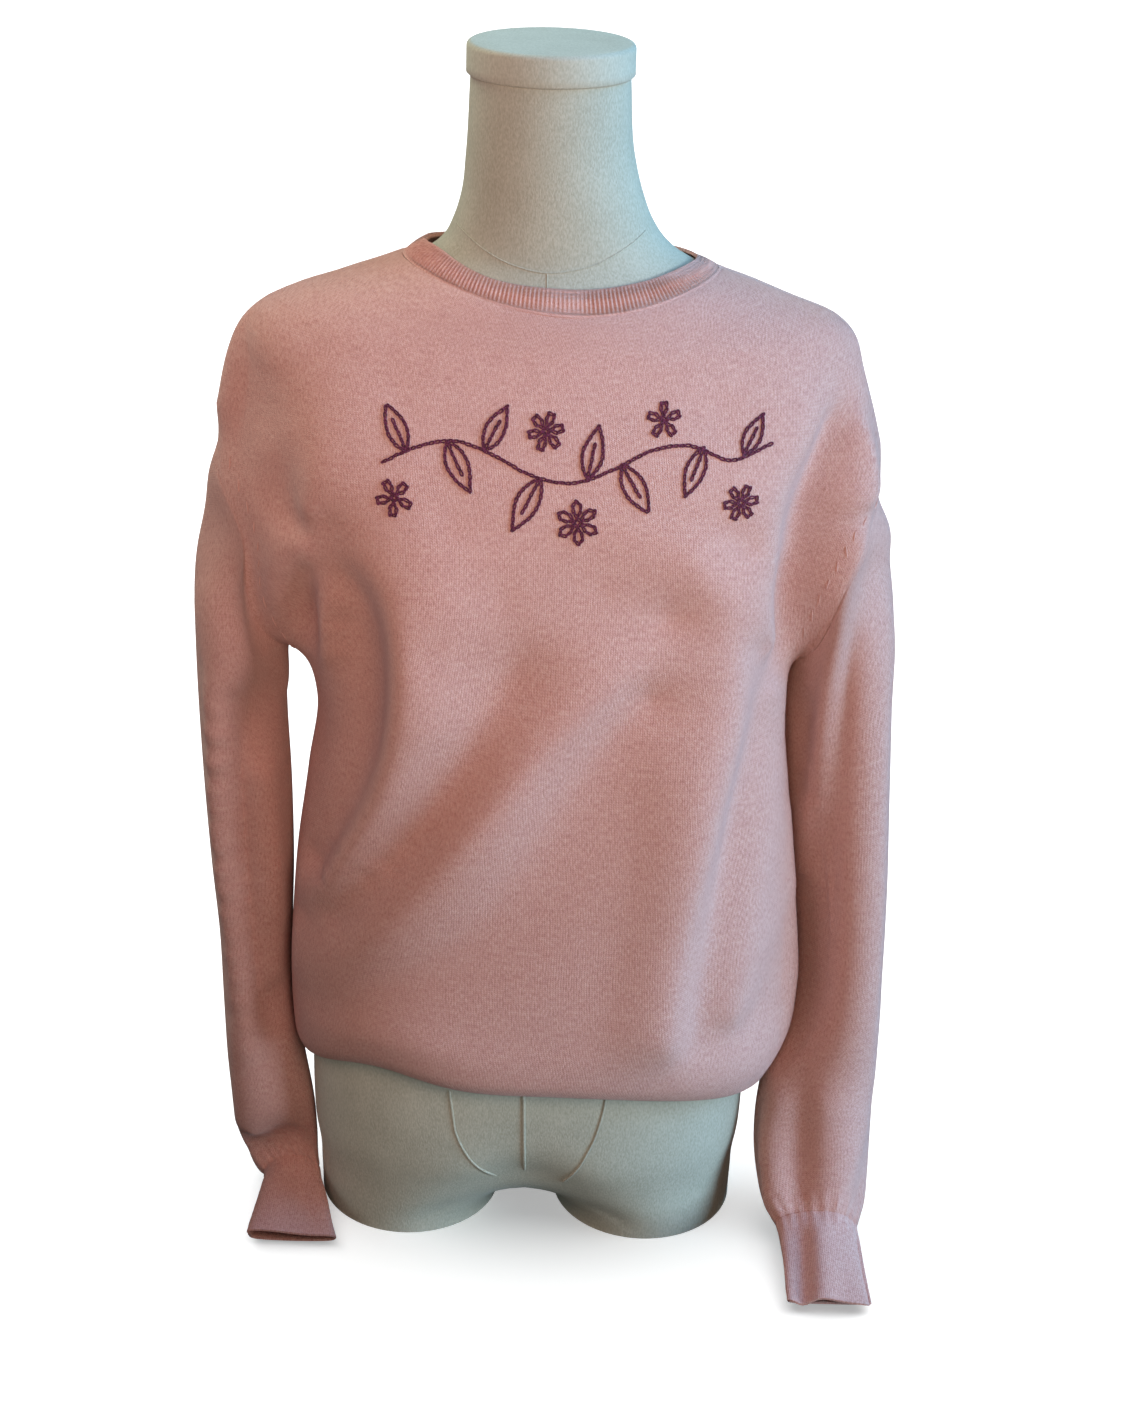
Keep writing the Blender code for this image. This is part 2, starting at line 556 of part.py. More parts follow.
def build_sweater():
    front = body_half(-1)
    back = body_half(1)
    front = fold_panel(front, grid_normals(front, False), FRONT_FOLDS)
    back = fold_panel(back, grid_normals(back, False), BACK_FOLDS)
    front[:, [0, -1]] = body_half(-1)[:, [0, -1]]
    back[:, [0, -1]] = body_half(1)[:, [0, -1]]
    front[TUCK_ROWS:] = off_form(front[TUCK_ROWS:], REST)
    back[TUCK_ROWS:] = off_form(back[TUCK_ROWS:], REST)
    first, last = HEM_ROWS, HEM_ROWS + ARMHOLE_ROWS
    for rows in (slice(TUCK_ROWS, first + 1), slice(last, None)):
        for f, b in ((0, -1), (-1, 0)):
            mean = (front[rows, f] + back[rows, b]) / 2
            front[rows, f] = mean
            back[rows, b] = mean

    sleeves = {}
    for side, table, cuff, strokes in ((-1, SLEEVE_LEFT, CUFF_LEFT, LEFT_SLEEVE_FOLDS),
                                       (1, SLEEVE_RIGHT, CUFF_RIGHT, RIGHT_SLEEVE_FOLDS)):
        loop = armhole_loop(front, back, side)
        grid, angles = sleeve_grid(table, loop, side)
        grid = fold_sleeve(grid, grid_normals(grid, True, side), angles, strokes)
        grid[0] = loop
        cuff_grid = tube_rows(cuff, len(cuff["x"]), angles, side)
        cuff_grid[0] = grid[-1]
        sleeves[side] = (grid, cuff_grid)

    neck_loop = np.concatenate([front[-1], back[-1][1:-1]])
    hem_loop = np.concatenate([front[0], back[0][1:-1]])
    neckband = neckband_grid(neck_loop)
    hem_band = hem_band_grid(hem_loop)

    front_n = grid_normals(front, False)
    back_n = grid_normals(back, False)
    neck_n = grid_normals(neckband, True)
    hem_n = -grid_normals(hem_band, True)
    sleeve_n = {side: grid_normals(sleeves[side][0], True, side) for side in sleeves}
    cuff_n = {side: grid_normals(sleeves[side][1], True, side) for side in sleeves}

    columns = FRONT_COLUMNS + 1
    for r in range(len(front)):
        for f, b, side in ((0, -1, -1), (-1, 0, 1)):
            meet = [(front_n, (r, f)), (back_n, (r, b))]
            if first < r < last:
                down = last - r
                shared_normals([meet[0], (sleeve_n[side], (0, down))])
                shared_normals([meet[1], (sleeve_n[side], (0, 2 * ARMHOLE_ROWS - down))])
                continue
            if r == first:
                for normals, index in meet + [(sleeve_n[side], (0, ARMHOLE_ROWS))]:
                    normals[index] = UNDERARM_NORMAL
                continue
            if r == last:
                meet.append((sleeve_n[side], (0, 0)))
            if r == 0:
                meet.append((hem_n, (0, 0 if side < 0 else columns - 1)))
            if r == len(front) - 1:
                meet.append((neck_n, (0, 0 if side < 0 else columns - 1)))
            shared_normals(meet)
    for c in range(1, columns - 1):
        shared_normals([(front_n, (0, c)), (hem_n, (0, c))])
        shared_normals([(front_n, (-1, c)), (neck_n, (0, c))])
    for c in range(1, BACK_COLUMNS):
        shared_normals([(back_n, (0, c)), (hem_n, (0, columns - 1 + c))])
        shared_normals([(back_n, (-1, c)), (neck_n, (0, columns - 1 + c))])
    for side in sleeves:
        for c in range(2 * ARMHOLE_ROWS):
            shared_normals([(sleeve_n[side], (-1, c)), (cuff_n[side], (0, c))])

    for panel in (front, back):
        trim_panel(panel)
    trim_tube(neckband, 0)
    trim_tube(hem_band, 0)
    cloth_wall("sweater_front", front, front_n, WALL, False, COLOURS["wool"])
    cloth_wall("sweater_back", back, back_n, WALL, False, COLOURS["wool"])
    cloth_wall("sweater_neckband", neckband, neck_n, RIB_WALL, True, COLOURS["rib"])
    cloth_wall("sweater_hem_band", hem_band, hem_n, WALL, True, COLOURS["rib"])
    for side, word in ((-1, "left"), (1, "right")):
        grid, cuff_grid = sleeves[side]
        trim_tube(grid, 0, -1)
        trim_tube(cuff_grid, 0)
        grid[0, ARMHOLE_ROWS, 0] += side * UNDERARM_GAP
        cloth_wall("sweater_sleeve_" + word, grid, sleeve_n[side], WALL, True, COLOURS["wool"])
        cloth_wall("sweater_cuff_" + word, cuff_grid, cuff_n[side], WALL, True, COLOURS["rib"])


# ---------------------------------------------------------------- the dress form
def form_ring(height, angles):
    """One section of the form; the middle is drawn in where the thighs part."""
    row = {name: float(value) for name, value in read_table(FORM, "height", height).items()}
    cos, sin = np.cos(angles), np.sin(angles)
    power = 2.0 / row["square"]
    x = row["half_width"] * np.sign(cos) * np.abs(cos)**power
    depth = np.where(sin < 0, row["front"], row["back"])
    y = depth * np.sign(sin) * np.abs(sin)**power
    pinch = row["cleft"] * np.exp(-(x / CLEFT_WIDTH)**2)
    return np.stack([row["centre_x"] + x, y * (1 - pinch), np.full_like(x, height)], axis=-1)


def build_form():
    half = FORM_COLUMNS // 2
    angles = section_angles(FORM_COLUMNS) - math.pi / 2     # starts at the front's middle
    heights = FORM["height"][:-1] + (NECK_TOP,)
    rings = [form_ring(h, angles) for h in heights]
    rings[0][:, 2] -= CROTCH_DIP * np.exp(-(rings[0][:, 0] / CROTCH_DIP_WIDTH)**2)
    vertices = [tuple(p) for ring in rings for p in ring]
    faces = grid_faces(len(rings), FORM_COLUMNS, True)
    faces.append(tuple(len(vertices) - FORM_COLUMNS + c for c in range(FORM_COLUMNS)))

    # the crotch: points between the two thighs, from the back's middle to the front's
    back_middle, front_middle = rings[0][half], rings[0][0]
    t = np.linspace(0.0, 1.0, CROTCH_COLUMNS + 1)[1:-1]
    crotch_y = back_middle[1] + (front_middle[1] - back_middle[1]) * t
    crotch_z = CROTCH_HEIGHT + (front_middle[2] - CROTCH_HEIGHT) * (2 * t - 1)**2
    crotch_start = len(vertices)
    vertices += [(0.0, y, z) for y, z in zip(crotch_y, crotch_z)]
    crotch = list(range(crotch_start, crotch_start + CROTCH_COLUMNS - 1))

    for side in (1, -1):
        outer = [(side * c) % FORM_COLUMNS for c in range(half + 1)]     # front's middle, side, back's middle
        loop = outer + crotch
        top = np.array([vertices[i] for i in loop])
        outer_turn = math.pi * np.linspace(-STUMP_ARC, STUMP_ARC, half + 1)
        inner_turn = math.pi * np.linspace(STUMP_ARC, 2.0 - STUMP_ARC, CROTCH_COLUMNS + 1)[1:-1]
        turn = np.concatenate([outer_turn, inner_turn])
        stump = np.stack([side * (STUMP_CENTRE_X + STUMP_HALF_WIDTH * np.cos(turn)),
                          STUMP_CENTRE_Y + STUMP_HALF_DEPTH * np.sin(turn), np.zeros_like(turn)], axis=-1)
        above = loop
        for step in range(1, STUMP_ROWS + 1):
            t = step / STUMP_ROWS
            inwards = math.sin(t * math.pi / 2)**0.8
            ring = top * (1 - inwards) + stump * inwards
            ring[:, 2] = top[:, 2] * (1 - t)
            start = len(vertices)
            vertices += [tuple(p) for p in ring]
            below = list(range(start, start + len(loop)))
            for a in range(len(loop)):
                b = (a + 1) % len(loop)
                faces.append((above[a], above[b], below[b], below[a]))
            above = below
        faces.append(tuple(above))
    add_object("form_torso", vertices, faces, COLOURS["form"], 0.85)


def build_neck_cap():
    """A turned disc with a rounded rim on the neck's flat top."""
    profile = [(0.0, CAP_BOTTOM), (CAP_RADIUS - 0.0015, CAP_BOTTOM), (CAP_RADIUS, CAP_BOTTOM + 0.0015)]
    for step in range(4):
        turn = step / 3 * math.pi / 2
        profile.append((CAP_RADIUS - CAP_EDGE + CAP_EDGE * math.cos(turn),
                        CAP_TOP - CAP_EDGE + CAP_EDGE * math.sin(turn)))
    profile.append((0.0, CAP_TOP))
    tidy = bmesh.new()
    chain = [tidy.verts.new((radius, 0.0, height)) for radius, height in profile]
    edges = [tidy.edges.new(pair) for pair in zip(chain, chain[1:])]
    bmesh.ops.spin(tidy, geom=chain + edges, axis=(0, 0, 1), cent=(0, 0, 0), angle=2 * math.pi,
                   steps=FORM_COLUMNS, use_duplicate=False)
    bmesh.ops.remove_doubles(tidy, verts=tidy.verts, dist=1e-5)
    mesh = bpy.data.meshes.new("cap")
    tidy.to_mesh(mesh)
    tidy.free()
    vertices = [tuple(v.co) for v in mesh.vertices]
    faces = [tuple(p.vertices) for p in mesh.polygons]
    bpy.data.meshes.remove(mesh)
    add_object("form_neck_cap", vertices, faces, COLOURS["form_cap"], 0.85)


def main():
    for old in list(bpy.data.objects):
        bpy.data.objects.remove(old, do_unlink=True)
    build_form()
    build_neck_cap()
    build_sweater()


main()
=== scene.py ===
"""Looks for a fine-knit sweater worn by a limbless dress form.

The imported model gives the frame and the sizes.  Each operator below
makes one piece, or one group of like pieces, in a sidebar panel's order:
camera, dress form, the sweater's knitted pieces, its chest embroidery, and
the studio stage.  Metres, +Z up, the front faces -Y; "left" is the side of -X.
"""
import functools
import json
import math

import bmesh
import bpy
import numpy as np
from mathutils import Matrix, Vector
from mathutils.bvhtree import BVHTree

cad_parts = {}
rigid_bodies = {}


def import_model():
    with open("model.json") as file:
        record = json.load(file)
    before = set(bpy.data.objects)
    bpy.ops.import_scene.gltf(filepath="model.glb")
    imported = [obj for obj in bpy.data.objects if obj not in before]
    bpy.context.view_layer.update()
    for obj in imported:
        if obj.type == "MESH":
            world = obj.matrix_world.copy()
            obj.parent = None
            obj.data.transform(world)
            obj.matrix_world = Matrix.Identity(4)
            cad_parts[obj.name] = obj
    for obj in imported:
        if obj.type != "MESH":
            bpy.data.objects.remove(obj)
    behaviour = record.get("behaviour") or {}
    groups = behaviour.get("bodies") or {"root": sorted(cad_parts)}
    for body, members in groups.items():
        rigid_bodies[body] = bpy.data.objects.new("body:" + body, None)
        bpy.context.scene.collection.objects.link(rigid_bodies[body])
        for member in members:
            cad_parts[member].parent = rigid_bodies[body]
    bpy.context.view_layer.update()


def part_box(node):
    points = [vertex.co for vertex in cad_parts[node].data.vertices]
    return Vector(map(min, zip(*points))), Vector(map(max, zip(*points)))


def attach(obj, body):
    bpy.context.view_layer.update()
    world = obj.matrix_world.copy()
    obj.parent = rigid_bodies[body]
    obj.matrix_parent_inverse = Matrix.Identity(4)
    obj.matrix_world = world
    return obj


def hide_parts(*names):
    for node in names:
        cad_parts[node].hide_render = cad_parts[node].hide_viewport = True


bl_info = {
    "name": "Sweater on a dress form",
    "version": (1, 0, 0),
    "blender": (4, 5, 0),
    "location": "3D View > Sidebar > Sweater",
    "description": "Builds a knitted sweater, its embroidery and the form that wears it",
    "category": "Object",
}

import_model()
CAP_LOW, CAP_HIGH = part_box("form_neck_cap")
AXIS = np.array([(CAP_LOW[0] + CAP_HIGH[0]) / 2, (CAP_LOW[1] + CAP_HIGH[1]) / 2, 0.0])

# ---------------------------------------------------------------- garment and form tables
# All in metres from the form's upright axis, but for what a comment says.
# Sections of the form: "square" is the power of their curve, and "cleft" the share
# that their middle is drawn in where the thighs part.
FORM = {
    "height":     (.040, .070, .105, .150, .200, .260, .315, .370, .430, .495, .545, .590, .620,
                   .642, .656, .665, .672, .679, .686, .693, .700, .7075, .716, .728, .745, .770, .8222),
    "half_width": (.1530, .1555, .1565, .1550, .1460, .1300, .1210, .1245, .1350, .1450, .1530, .1700,
                   .1880, .1965, .1945, .1865, .1740, .1560, .1355, .1150, .0980, .0825, .0728, .0655,
                   .0595, .0550, .0517),
    "front":      (.0960, .1010, .1035, .1010, .0965, .0910, .0890, .0940, .1070, .1225, .1140, .1010,
                   .0910, .0835, .0780, .0745, .0715, .0680, .0645, .0605, .0565, .0530, .0515, .0510,
                   .0512, .0515, .0517),
    "back":       (.1060, .1120, .1155, .1120, .1020, .0850, .0745, .0760, .0850, .0955, .1000, .0990,
                   .0945, .0885, .0835, .0800, .0765, .0725, .0675, .0620, .0580, .0548, .0528, .0518,
                   .0514, .0514, .0517),
    "centre_x":   (.0, .0, .0, .0, .0, .0, .0, .0, .0, .0, .0, .0, .0,
                   .0, .0, .0, .0, .0, .002, .0035, .0045, .0055, .0052, .004, .003, .001, .0),
    "square":     (2.35, 2.35, 2.35, 2.35, 2.35, 2.3, 2.3, 2.3, 2.3, 2.3, 2.3, 2.3, 2.2,
                   2.0, 1.85, 1.75, 1.7, 1.7, 1.7, 1.72, 1.78, 1.88, 1.95, 2.0, 2.0, 2.0, 2.0),
    "cleft":      (.34, .10, .02, .0, .0, .0, .0, .0, .0, .0, .0, .0, .0,
                   .0, .0, .0, .0, .0, .0, .0, .0, .0, .0, .0, .0, .0, .0),
}
# Rows of the front and the back, from the tucked hem round the bloused fold to the
# neckline; "v" numbers them. The ends of a row are at "left_x" and "right_x", the
# trunk's own sides at "left_w" and "right_w", and "spread" is half the gap between
# front and back at an armhole. "crown" and "edge" are powers of a row's curve.
BODY = {
    "v":       (0.0, 0.5, 0.8, 1.0, 1.25, 1.6, 2.0, 2.6, 3.2, 4.0, 4.6,
                5.0, 5.28, 5.56, 5.83, 6.4, 7.0,
                7.5, 8.0, 8.5, 9.0, 9.5, 10.2, 10.9, 11.6),
    "left_x":  (-.1570, -.1592, -.1602, -.1640, -.1685, -.1710, -.1720, -.1705, -.1670, -.1585, -.1525,
                -.1625, -.1765, -.1890, -.1960, -.1970, -.2055,
                -.2205, -.2170, -.2110, -.2020, -.1870, -.1600, -.1270, -.0950),
    "left_z":  (.178, .150, .129, .1200, .1280, .150, .180, .225, .275, .340, .395,
                .428, .433, .450, .474, .512, .548,
                .578, .606, .634, .655, .6695, .6805, .6915, .7030),
    "right_x": (.1580, .1605, .1640, .1700, .1785, .1900, .1955, .1940, .1875, .1795, .1745,
                .1770, .1845, .1920, .1970, .2030, .2145,
                .2315, .2240, .2130, .2065, .1945, .1680, .1390, .1140),
    "right_z": (.178, .148, .120, .1085, .1210, .148, .182, .225, .275, .345, .395,
                .430, .434, .450, .472, .508, .538,
                .556, .594, .632, .654, .6675, .6785, .6885, .6970),
    "left_w":  (-.1570, -.1592, -.1602, -.1640, -.1685, -.1710, -.1720, -.1705, -.1670, -.1590, -.1545,
                -.1565, -.1580, -.1605, -.1650, -.1760, -.1925,
                -.2205, -.2170, -.2110, -.2020, -.1870, -.1600, -.1270, -.0950),
    "right_w": (.1580, .1605, .1640, .1700, .1785, .1900, .1955, .1940, .1875, .1795, .1742,
                .1752, .1765, .1785, .1820, .1900, .2040,
                .2315, .2240, .2130, .2065, .1945, .1680, .1390, .1140),
    "spread":  (.0, .0, .0, .0, .0, .0, .0, .0, .0, .0, .0,
                .0, .028, .041, .047, .050, .040,
                .0, .0, .0, .0, .0, .0, .0, .0),
    "crown":   (2.3, 2.3, 2.3, 2.3, 2.3, 2.3, 2.3, 2.3, 2.3, 2.3, 2.3,
                2.3, 2.3, 2.3, 2.3, 2.3, 2.3,
                2.25, 2.1, 2.0, 1.85, 1.75, 1.7, 1.72, 1.85),
    "edge":    (.46, .46, .46, .46, .46, .46, .46, .46, .46, .47, .50,
                .54, .80, .96, 1.05, 1.05, .85,
                .52, .48, .50, .54, .57, .59, .58, .54),
    "front_x": (.000, .000, .002, .004, .008, .010, .012, .012, .010, .010, .010,
                .008, .007, .006, .004, .002, .002,
                .004, .005, .006, .008, .010, .013, .016, .019),
    "front_y": (-.1050, -.1070, -.1110, -.1185, -.1265, -.1312, -.1330, -.1332, -.1325, -.1312, -.1302,
                -.1300, -.1300, -.1300, -.1295, -.1268, -.1205,
                -.1120, -.1045, -.0968, -.0900, -.0840, -.0788, -.0740, -.0697),
    "front_z": (.186, .166, .148, .1405, .1470, .165, .190, .228, .272, .335, .392,
                .430, .450, .470, .490, .523, .555,
                .583, .605, .625, .641, .6545, .665, .674, .6805),
    "back_x":  (.000, .000, .002, .004, .008, .010, .012, .012, .010, .010, .010,
                .008, .006, .005, .004, .002, .002,
                .002, .002, .002, .003, .004, .005, .006, .008),
    "back_y":  (.1160, .1185, .1215, .1275, .1335, .1360, .1352, .1290, .1215, .1130, .1090,
                .1075, .1070, .1068, .1067, .1063, .1055,
                .1035, .1005, .0962, .0914, .0862, .0798, .0707, .0650),
    "back_z":  (.180, .155, .135, .1270, .1340, .158, .190, .228, .272, .335, .392,
                .430, .450, .470, .490, .526, .562,
                .590, .611, .630, .646, .660, .6725, .6845, .6945),
}
UNDERARM, ARMHOLE_TOP, NECKLINE = 5.0, 7.5, 11.6      # places in the body's table
TUCKED = 1.3             # rows before this place are turned up inside the blouse
SLEEVE_REACH = 5         # power that keeps the reach to a sleeve near a row's ends
REST = 0.0034            # the cloth's face to the form where it lies on it
HEM_BAND_HEIGHT, HEM_BAND_GRIP = 0.0520, 0.0012
FRONT_COLUMNS, BACK_COLUMNS, SLEEVE_ROWS = 168, 100, 190
SIDE_ROWS, ARMHOLE_ROWS, SHOULDER_ROWS = 124, 60, 40
CUFF_COLUMNS, CUFF_ROWS, NECKBAND_ROWS = 360, 30, 14
SMOOTHING = 240          # rounds that even out the cloth round the armholes
SEAM_SMOOTHING = 130     # rounds that let the sleeves run on from the trunk
FORM_COLUMNS, STUMP_ROWS, CROTCH_COLUMNS, CROTCH_HEIGHT = 160, 26, 24, 0.0250
STUMP = {"x": .0855, "y": .0020, "half_width": .0650, "half_depth": .0770, "arc": .56}
STUMP_CREASE_HEIGHT, STUMP_CREASE_REACH = 0.041, 0.013
CLEFT_REACH = 0.0340     # how far to the sides the hollow between the thighs runs
CAP_RADIUS, CAP_EDGE, CAP_GAP, CAP_COLUMNS = 0.0545, 0.0035, 0.0003, 128
MARK_INSET, MARK_SLANT, MARK_ROWS = 0.012, 0.0025, 5     # fashioning marks beside the armholes

# Seams of the form's cover: lines down its front as (x, z), and their half width.
FORM_SEAMS = {
    "neck_base": (((-.0590, .7275), (-.0510, .7225), (-.0400, .7160), (-.0230, .7090), (.0010, .7050),
                   (.0280, .7090), (.0460, .7165), (.0570, .7225), (.0640, .7270)), .0005),
    "neck_front": (((.0010, .7050), (.0012, .6950), (.0014, .6850)), .0004),
    "left_welt": (((-.0540, .1320), (-.0520, .1190), (-.0490, .0990), (-.0425, .0830), (-.0350, .0710),
                   (-.0250, .0600), (-.0150, .0510)), .0009),
    "centre_welt": (((-.0020, .1320), (-.0015, .1210), (-.0008, .0850), (.0000, .0520)), .0012),
    "right_welt": (((.0560, .1320), (.0540, .1180), (.0490, .0980), (.0440, .0850), (.0390, .0730),
                    (.0330, .0620), (.0270, .0520)), .0009),
}

# The chest embroidery: a trailing branch as (x, z), pointed leaves (stalk x, z,
# length, width, degrees) and daisies (x, z, radius, petals, degrees).
BRANCH = ((-.102, .5905), (-.080, .6010), (-.055, .6060), (-.030, .5990), (-.006, .5880), (.020, .5840),
          (.046, .5920), (.070, .6030), (.096, .6055), (.122, .5960), (.148, .6040))
LEAVES = (
    (-.086, .5985, .030, .0125, 118.), (-.060, .6055, .033, .0135, -62.), (-.036, .6015, .030, .0120, 62.),
    (.000, .5860, .036, .0140, -118.), (.030, .5865, .032, .0130, 78.), (.052, .5950, .034, .0135, -58.),
    (.104, .6040, .030, .0120, -112.), (.130, .5985, .026, .0110, 62.),
)
DAISIES = (
    (.003, .6140, .0120, 6, 12.), (.0245, .5600, .0135, 6, 35.), (-.093, .5700, .0120, 5, 50.),
    (.078, .6210, .0110, 5, 20.), (.129, .5700, .0115, 6, 5.),
)
# The bloused fold rises a little on the left.
HEM_LIFT = {"x": -.112, "width": .050, "rise": .017, "v": 1.15, "reach": .75}
# How far the neckband leans in and rises, at degrees round the neck (-90 is the front).
NECKBAND = {
    "turn": (-180., -150., -120., -90., -60., -30., 0., 30., 60., 90., 120., 150., 180.),
    "lean": (.0154, .0152, .0098, .0084, .0115, .0158, .0160, .0128, .0095, .0085, .0088, .0125, .0154),
    "rise": (.0100, .0122, .0118, .0158, .0148, .0100, .0066, .0078, .0100, .0122, .0116, .0104, .0100),
}
NECKLINE_X, NECKLINE_HALF_WIDTH, NECKLINE_DEPTH = 0.0095, 0.1045, 0.0670
# Sections down the sleeves and the cuffs: their middles, their half sizes, and "tip",
# the degrees that each is turned forward as the sleeve runs out on the floor.
SLEEVE_LEFT = {
    "x":          (-.2050, -.2050, -.2045, -.2020, -.1998, -.1980, -.1970, -.1915, -.1868, -.1840, -.1795,
                   -.1712),
    "y":          (.0000, .0010, .0010, .0020, .0030, .0020, .0000, -.0020, -.0030, -.0045, -.0075, -.0165),
    "z":          (.470, .430, .380, .320, .260, .205, .150, .105, .070, .045, .0255, .0160),
    "half_width": (.0305, .0305, .0306, .0302, .0286, .0252, .0240, .0282, .0305, .0300, .0255, .0185),
    "half_depth": (.0540, .0530, .0510, .0480, .0460, .0430, .0400, .0380, .0340, .0290, .0210, .0130),
    "tip":        (0., 0., 0., 0., 0., 0., 2., 5., 12., 28., 52., 74.),
}
SLEEVE_RIGHT = {
    "x":          (.2098, .2112, .2146, .2190, .2235, .2278, .2280, .2245, .2150, .2102, .2085, .2085,
                   .2092, .2110),
    "y":          (.0000, .0000, .0010, .0025, .0035, .0045, .0035, .0010, -.0050, -.0120, -.0250, -.0430,
                   -.0610, -.0790),
    "z":          (.470, .430, .380, .320, .270, .220, .180, .148, .114, .088, .0600, .0400, .0270, .0165),
    "half_width": (.0318, .0320, .0312, .0308, .0292, .0262, .0262, .0300, .0385, .0415, .0418, .0400,
                   .0368, .0290),
    "half_depth": (.0550, .0540, .0520, .0500, .0490, .0480, .0470, .0460, .0430, .0405, .0360, .0300,
                   .0230, .0145),
    "tip":        (0., 0., 0., 0., 0., 0., 0., 3., 9., 18., 36., 56., 71., 82.),
}
CUFF_LEFT = {
    "x": (-.1712, -.1678, -.1650), "y": (-.0165, -.0540, -.0960), "z": (.0160, .0115, .0078),
    "half_width": (.0185, .0238, .0315), "half_depth": (.0130, .0098, .0068), "tip": (74., 76., 62.),
}
CUFF_RIGHT = {
    "x": (.2110, .2130, .2145), "y": (-.0790, -.1190, -.1625), "z": (.0165, .0122, .0078),
    "half_width": (.0290, .0284, .0292), "half_depth": (.0145, .0105, .0078), "tip": (82., 72., 42.),
}
SECTION_NOSE = 0.0045    # least radius at the folded edges of a flattened sleeve
# Creases on top of the cuffs, each a line of (x, y, height) in millimetres.
CUFF_CREASES = (
    # right cuff: a sharp crease with a narrow lobe on its left
    ((199, -80, -3.5), (197.8, -110, -4.2), (196.2, -140, -4.2), (194.8, -166, -4)),
    ((188, -85, 0), (188.5, -125, 0.8), (188.5, -166, 0.8)),
    ((207, -85, 1.2), (206, -125, 2), (205, -166, 2.4)),
    ((223, -85, -1), (224, -125, 0), (224, -166, 0)),
    # left cuff: a slack trough that runs to its right corner
    ((-169, -30, -3), (-162, -55, -3.5), (-153, -80, -3), (-148, -96, -2)),
    ((-180, -30, 1), (-179, -60, 1.6), (-178, -96, 1)),
    ((-156, -30, 0), (-148, -55, 1), (-140, -80, 0)),
)
EASE_ACROSS, EASE_DOWN = 0.14, 0.30      # shares of a sleeve that its armhole's shape runs out over

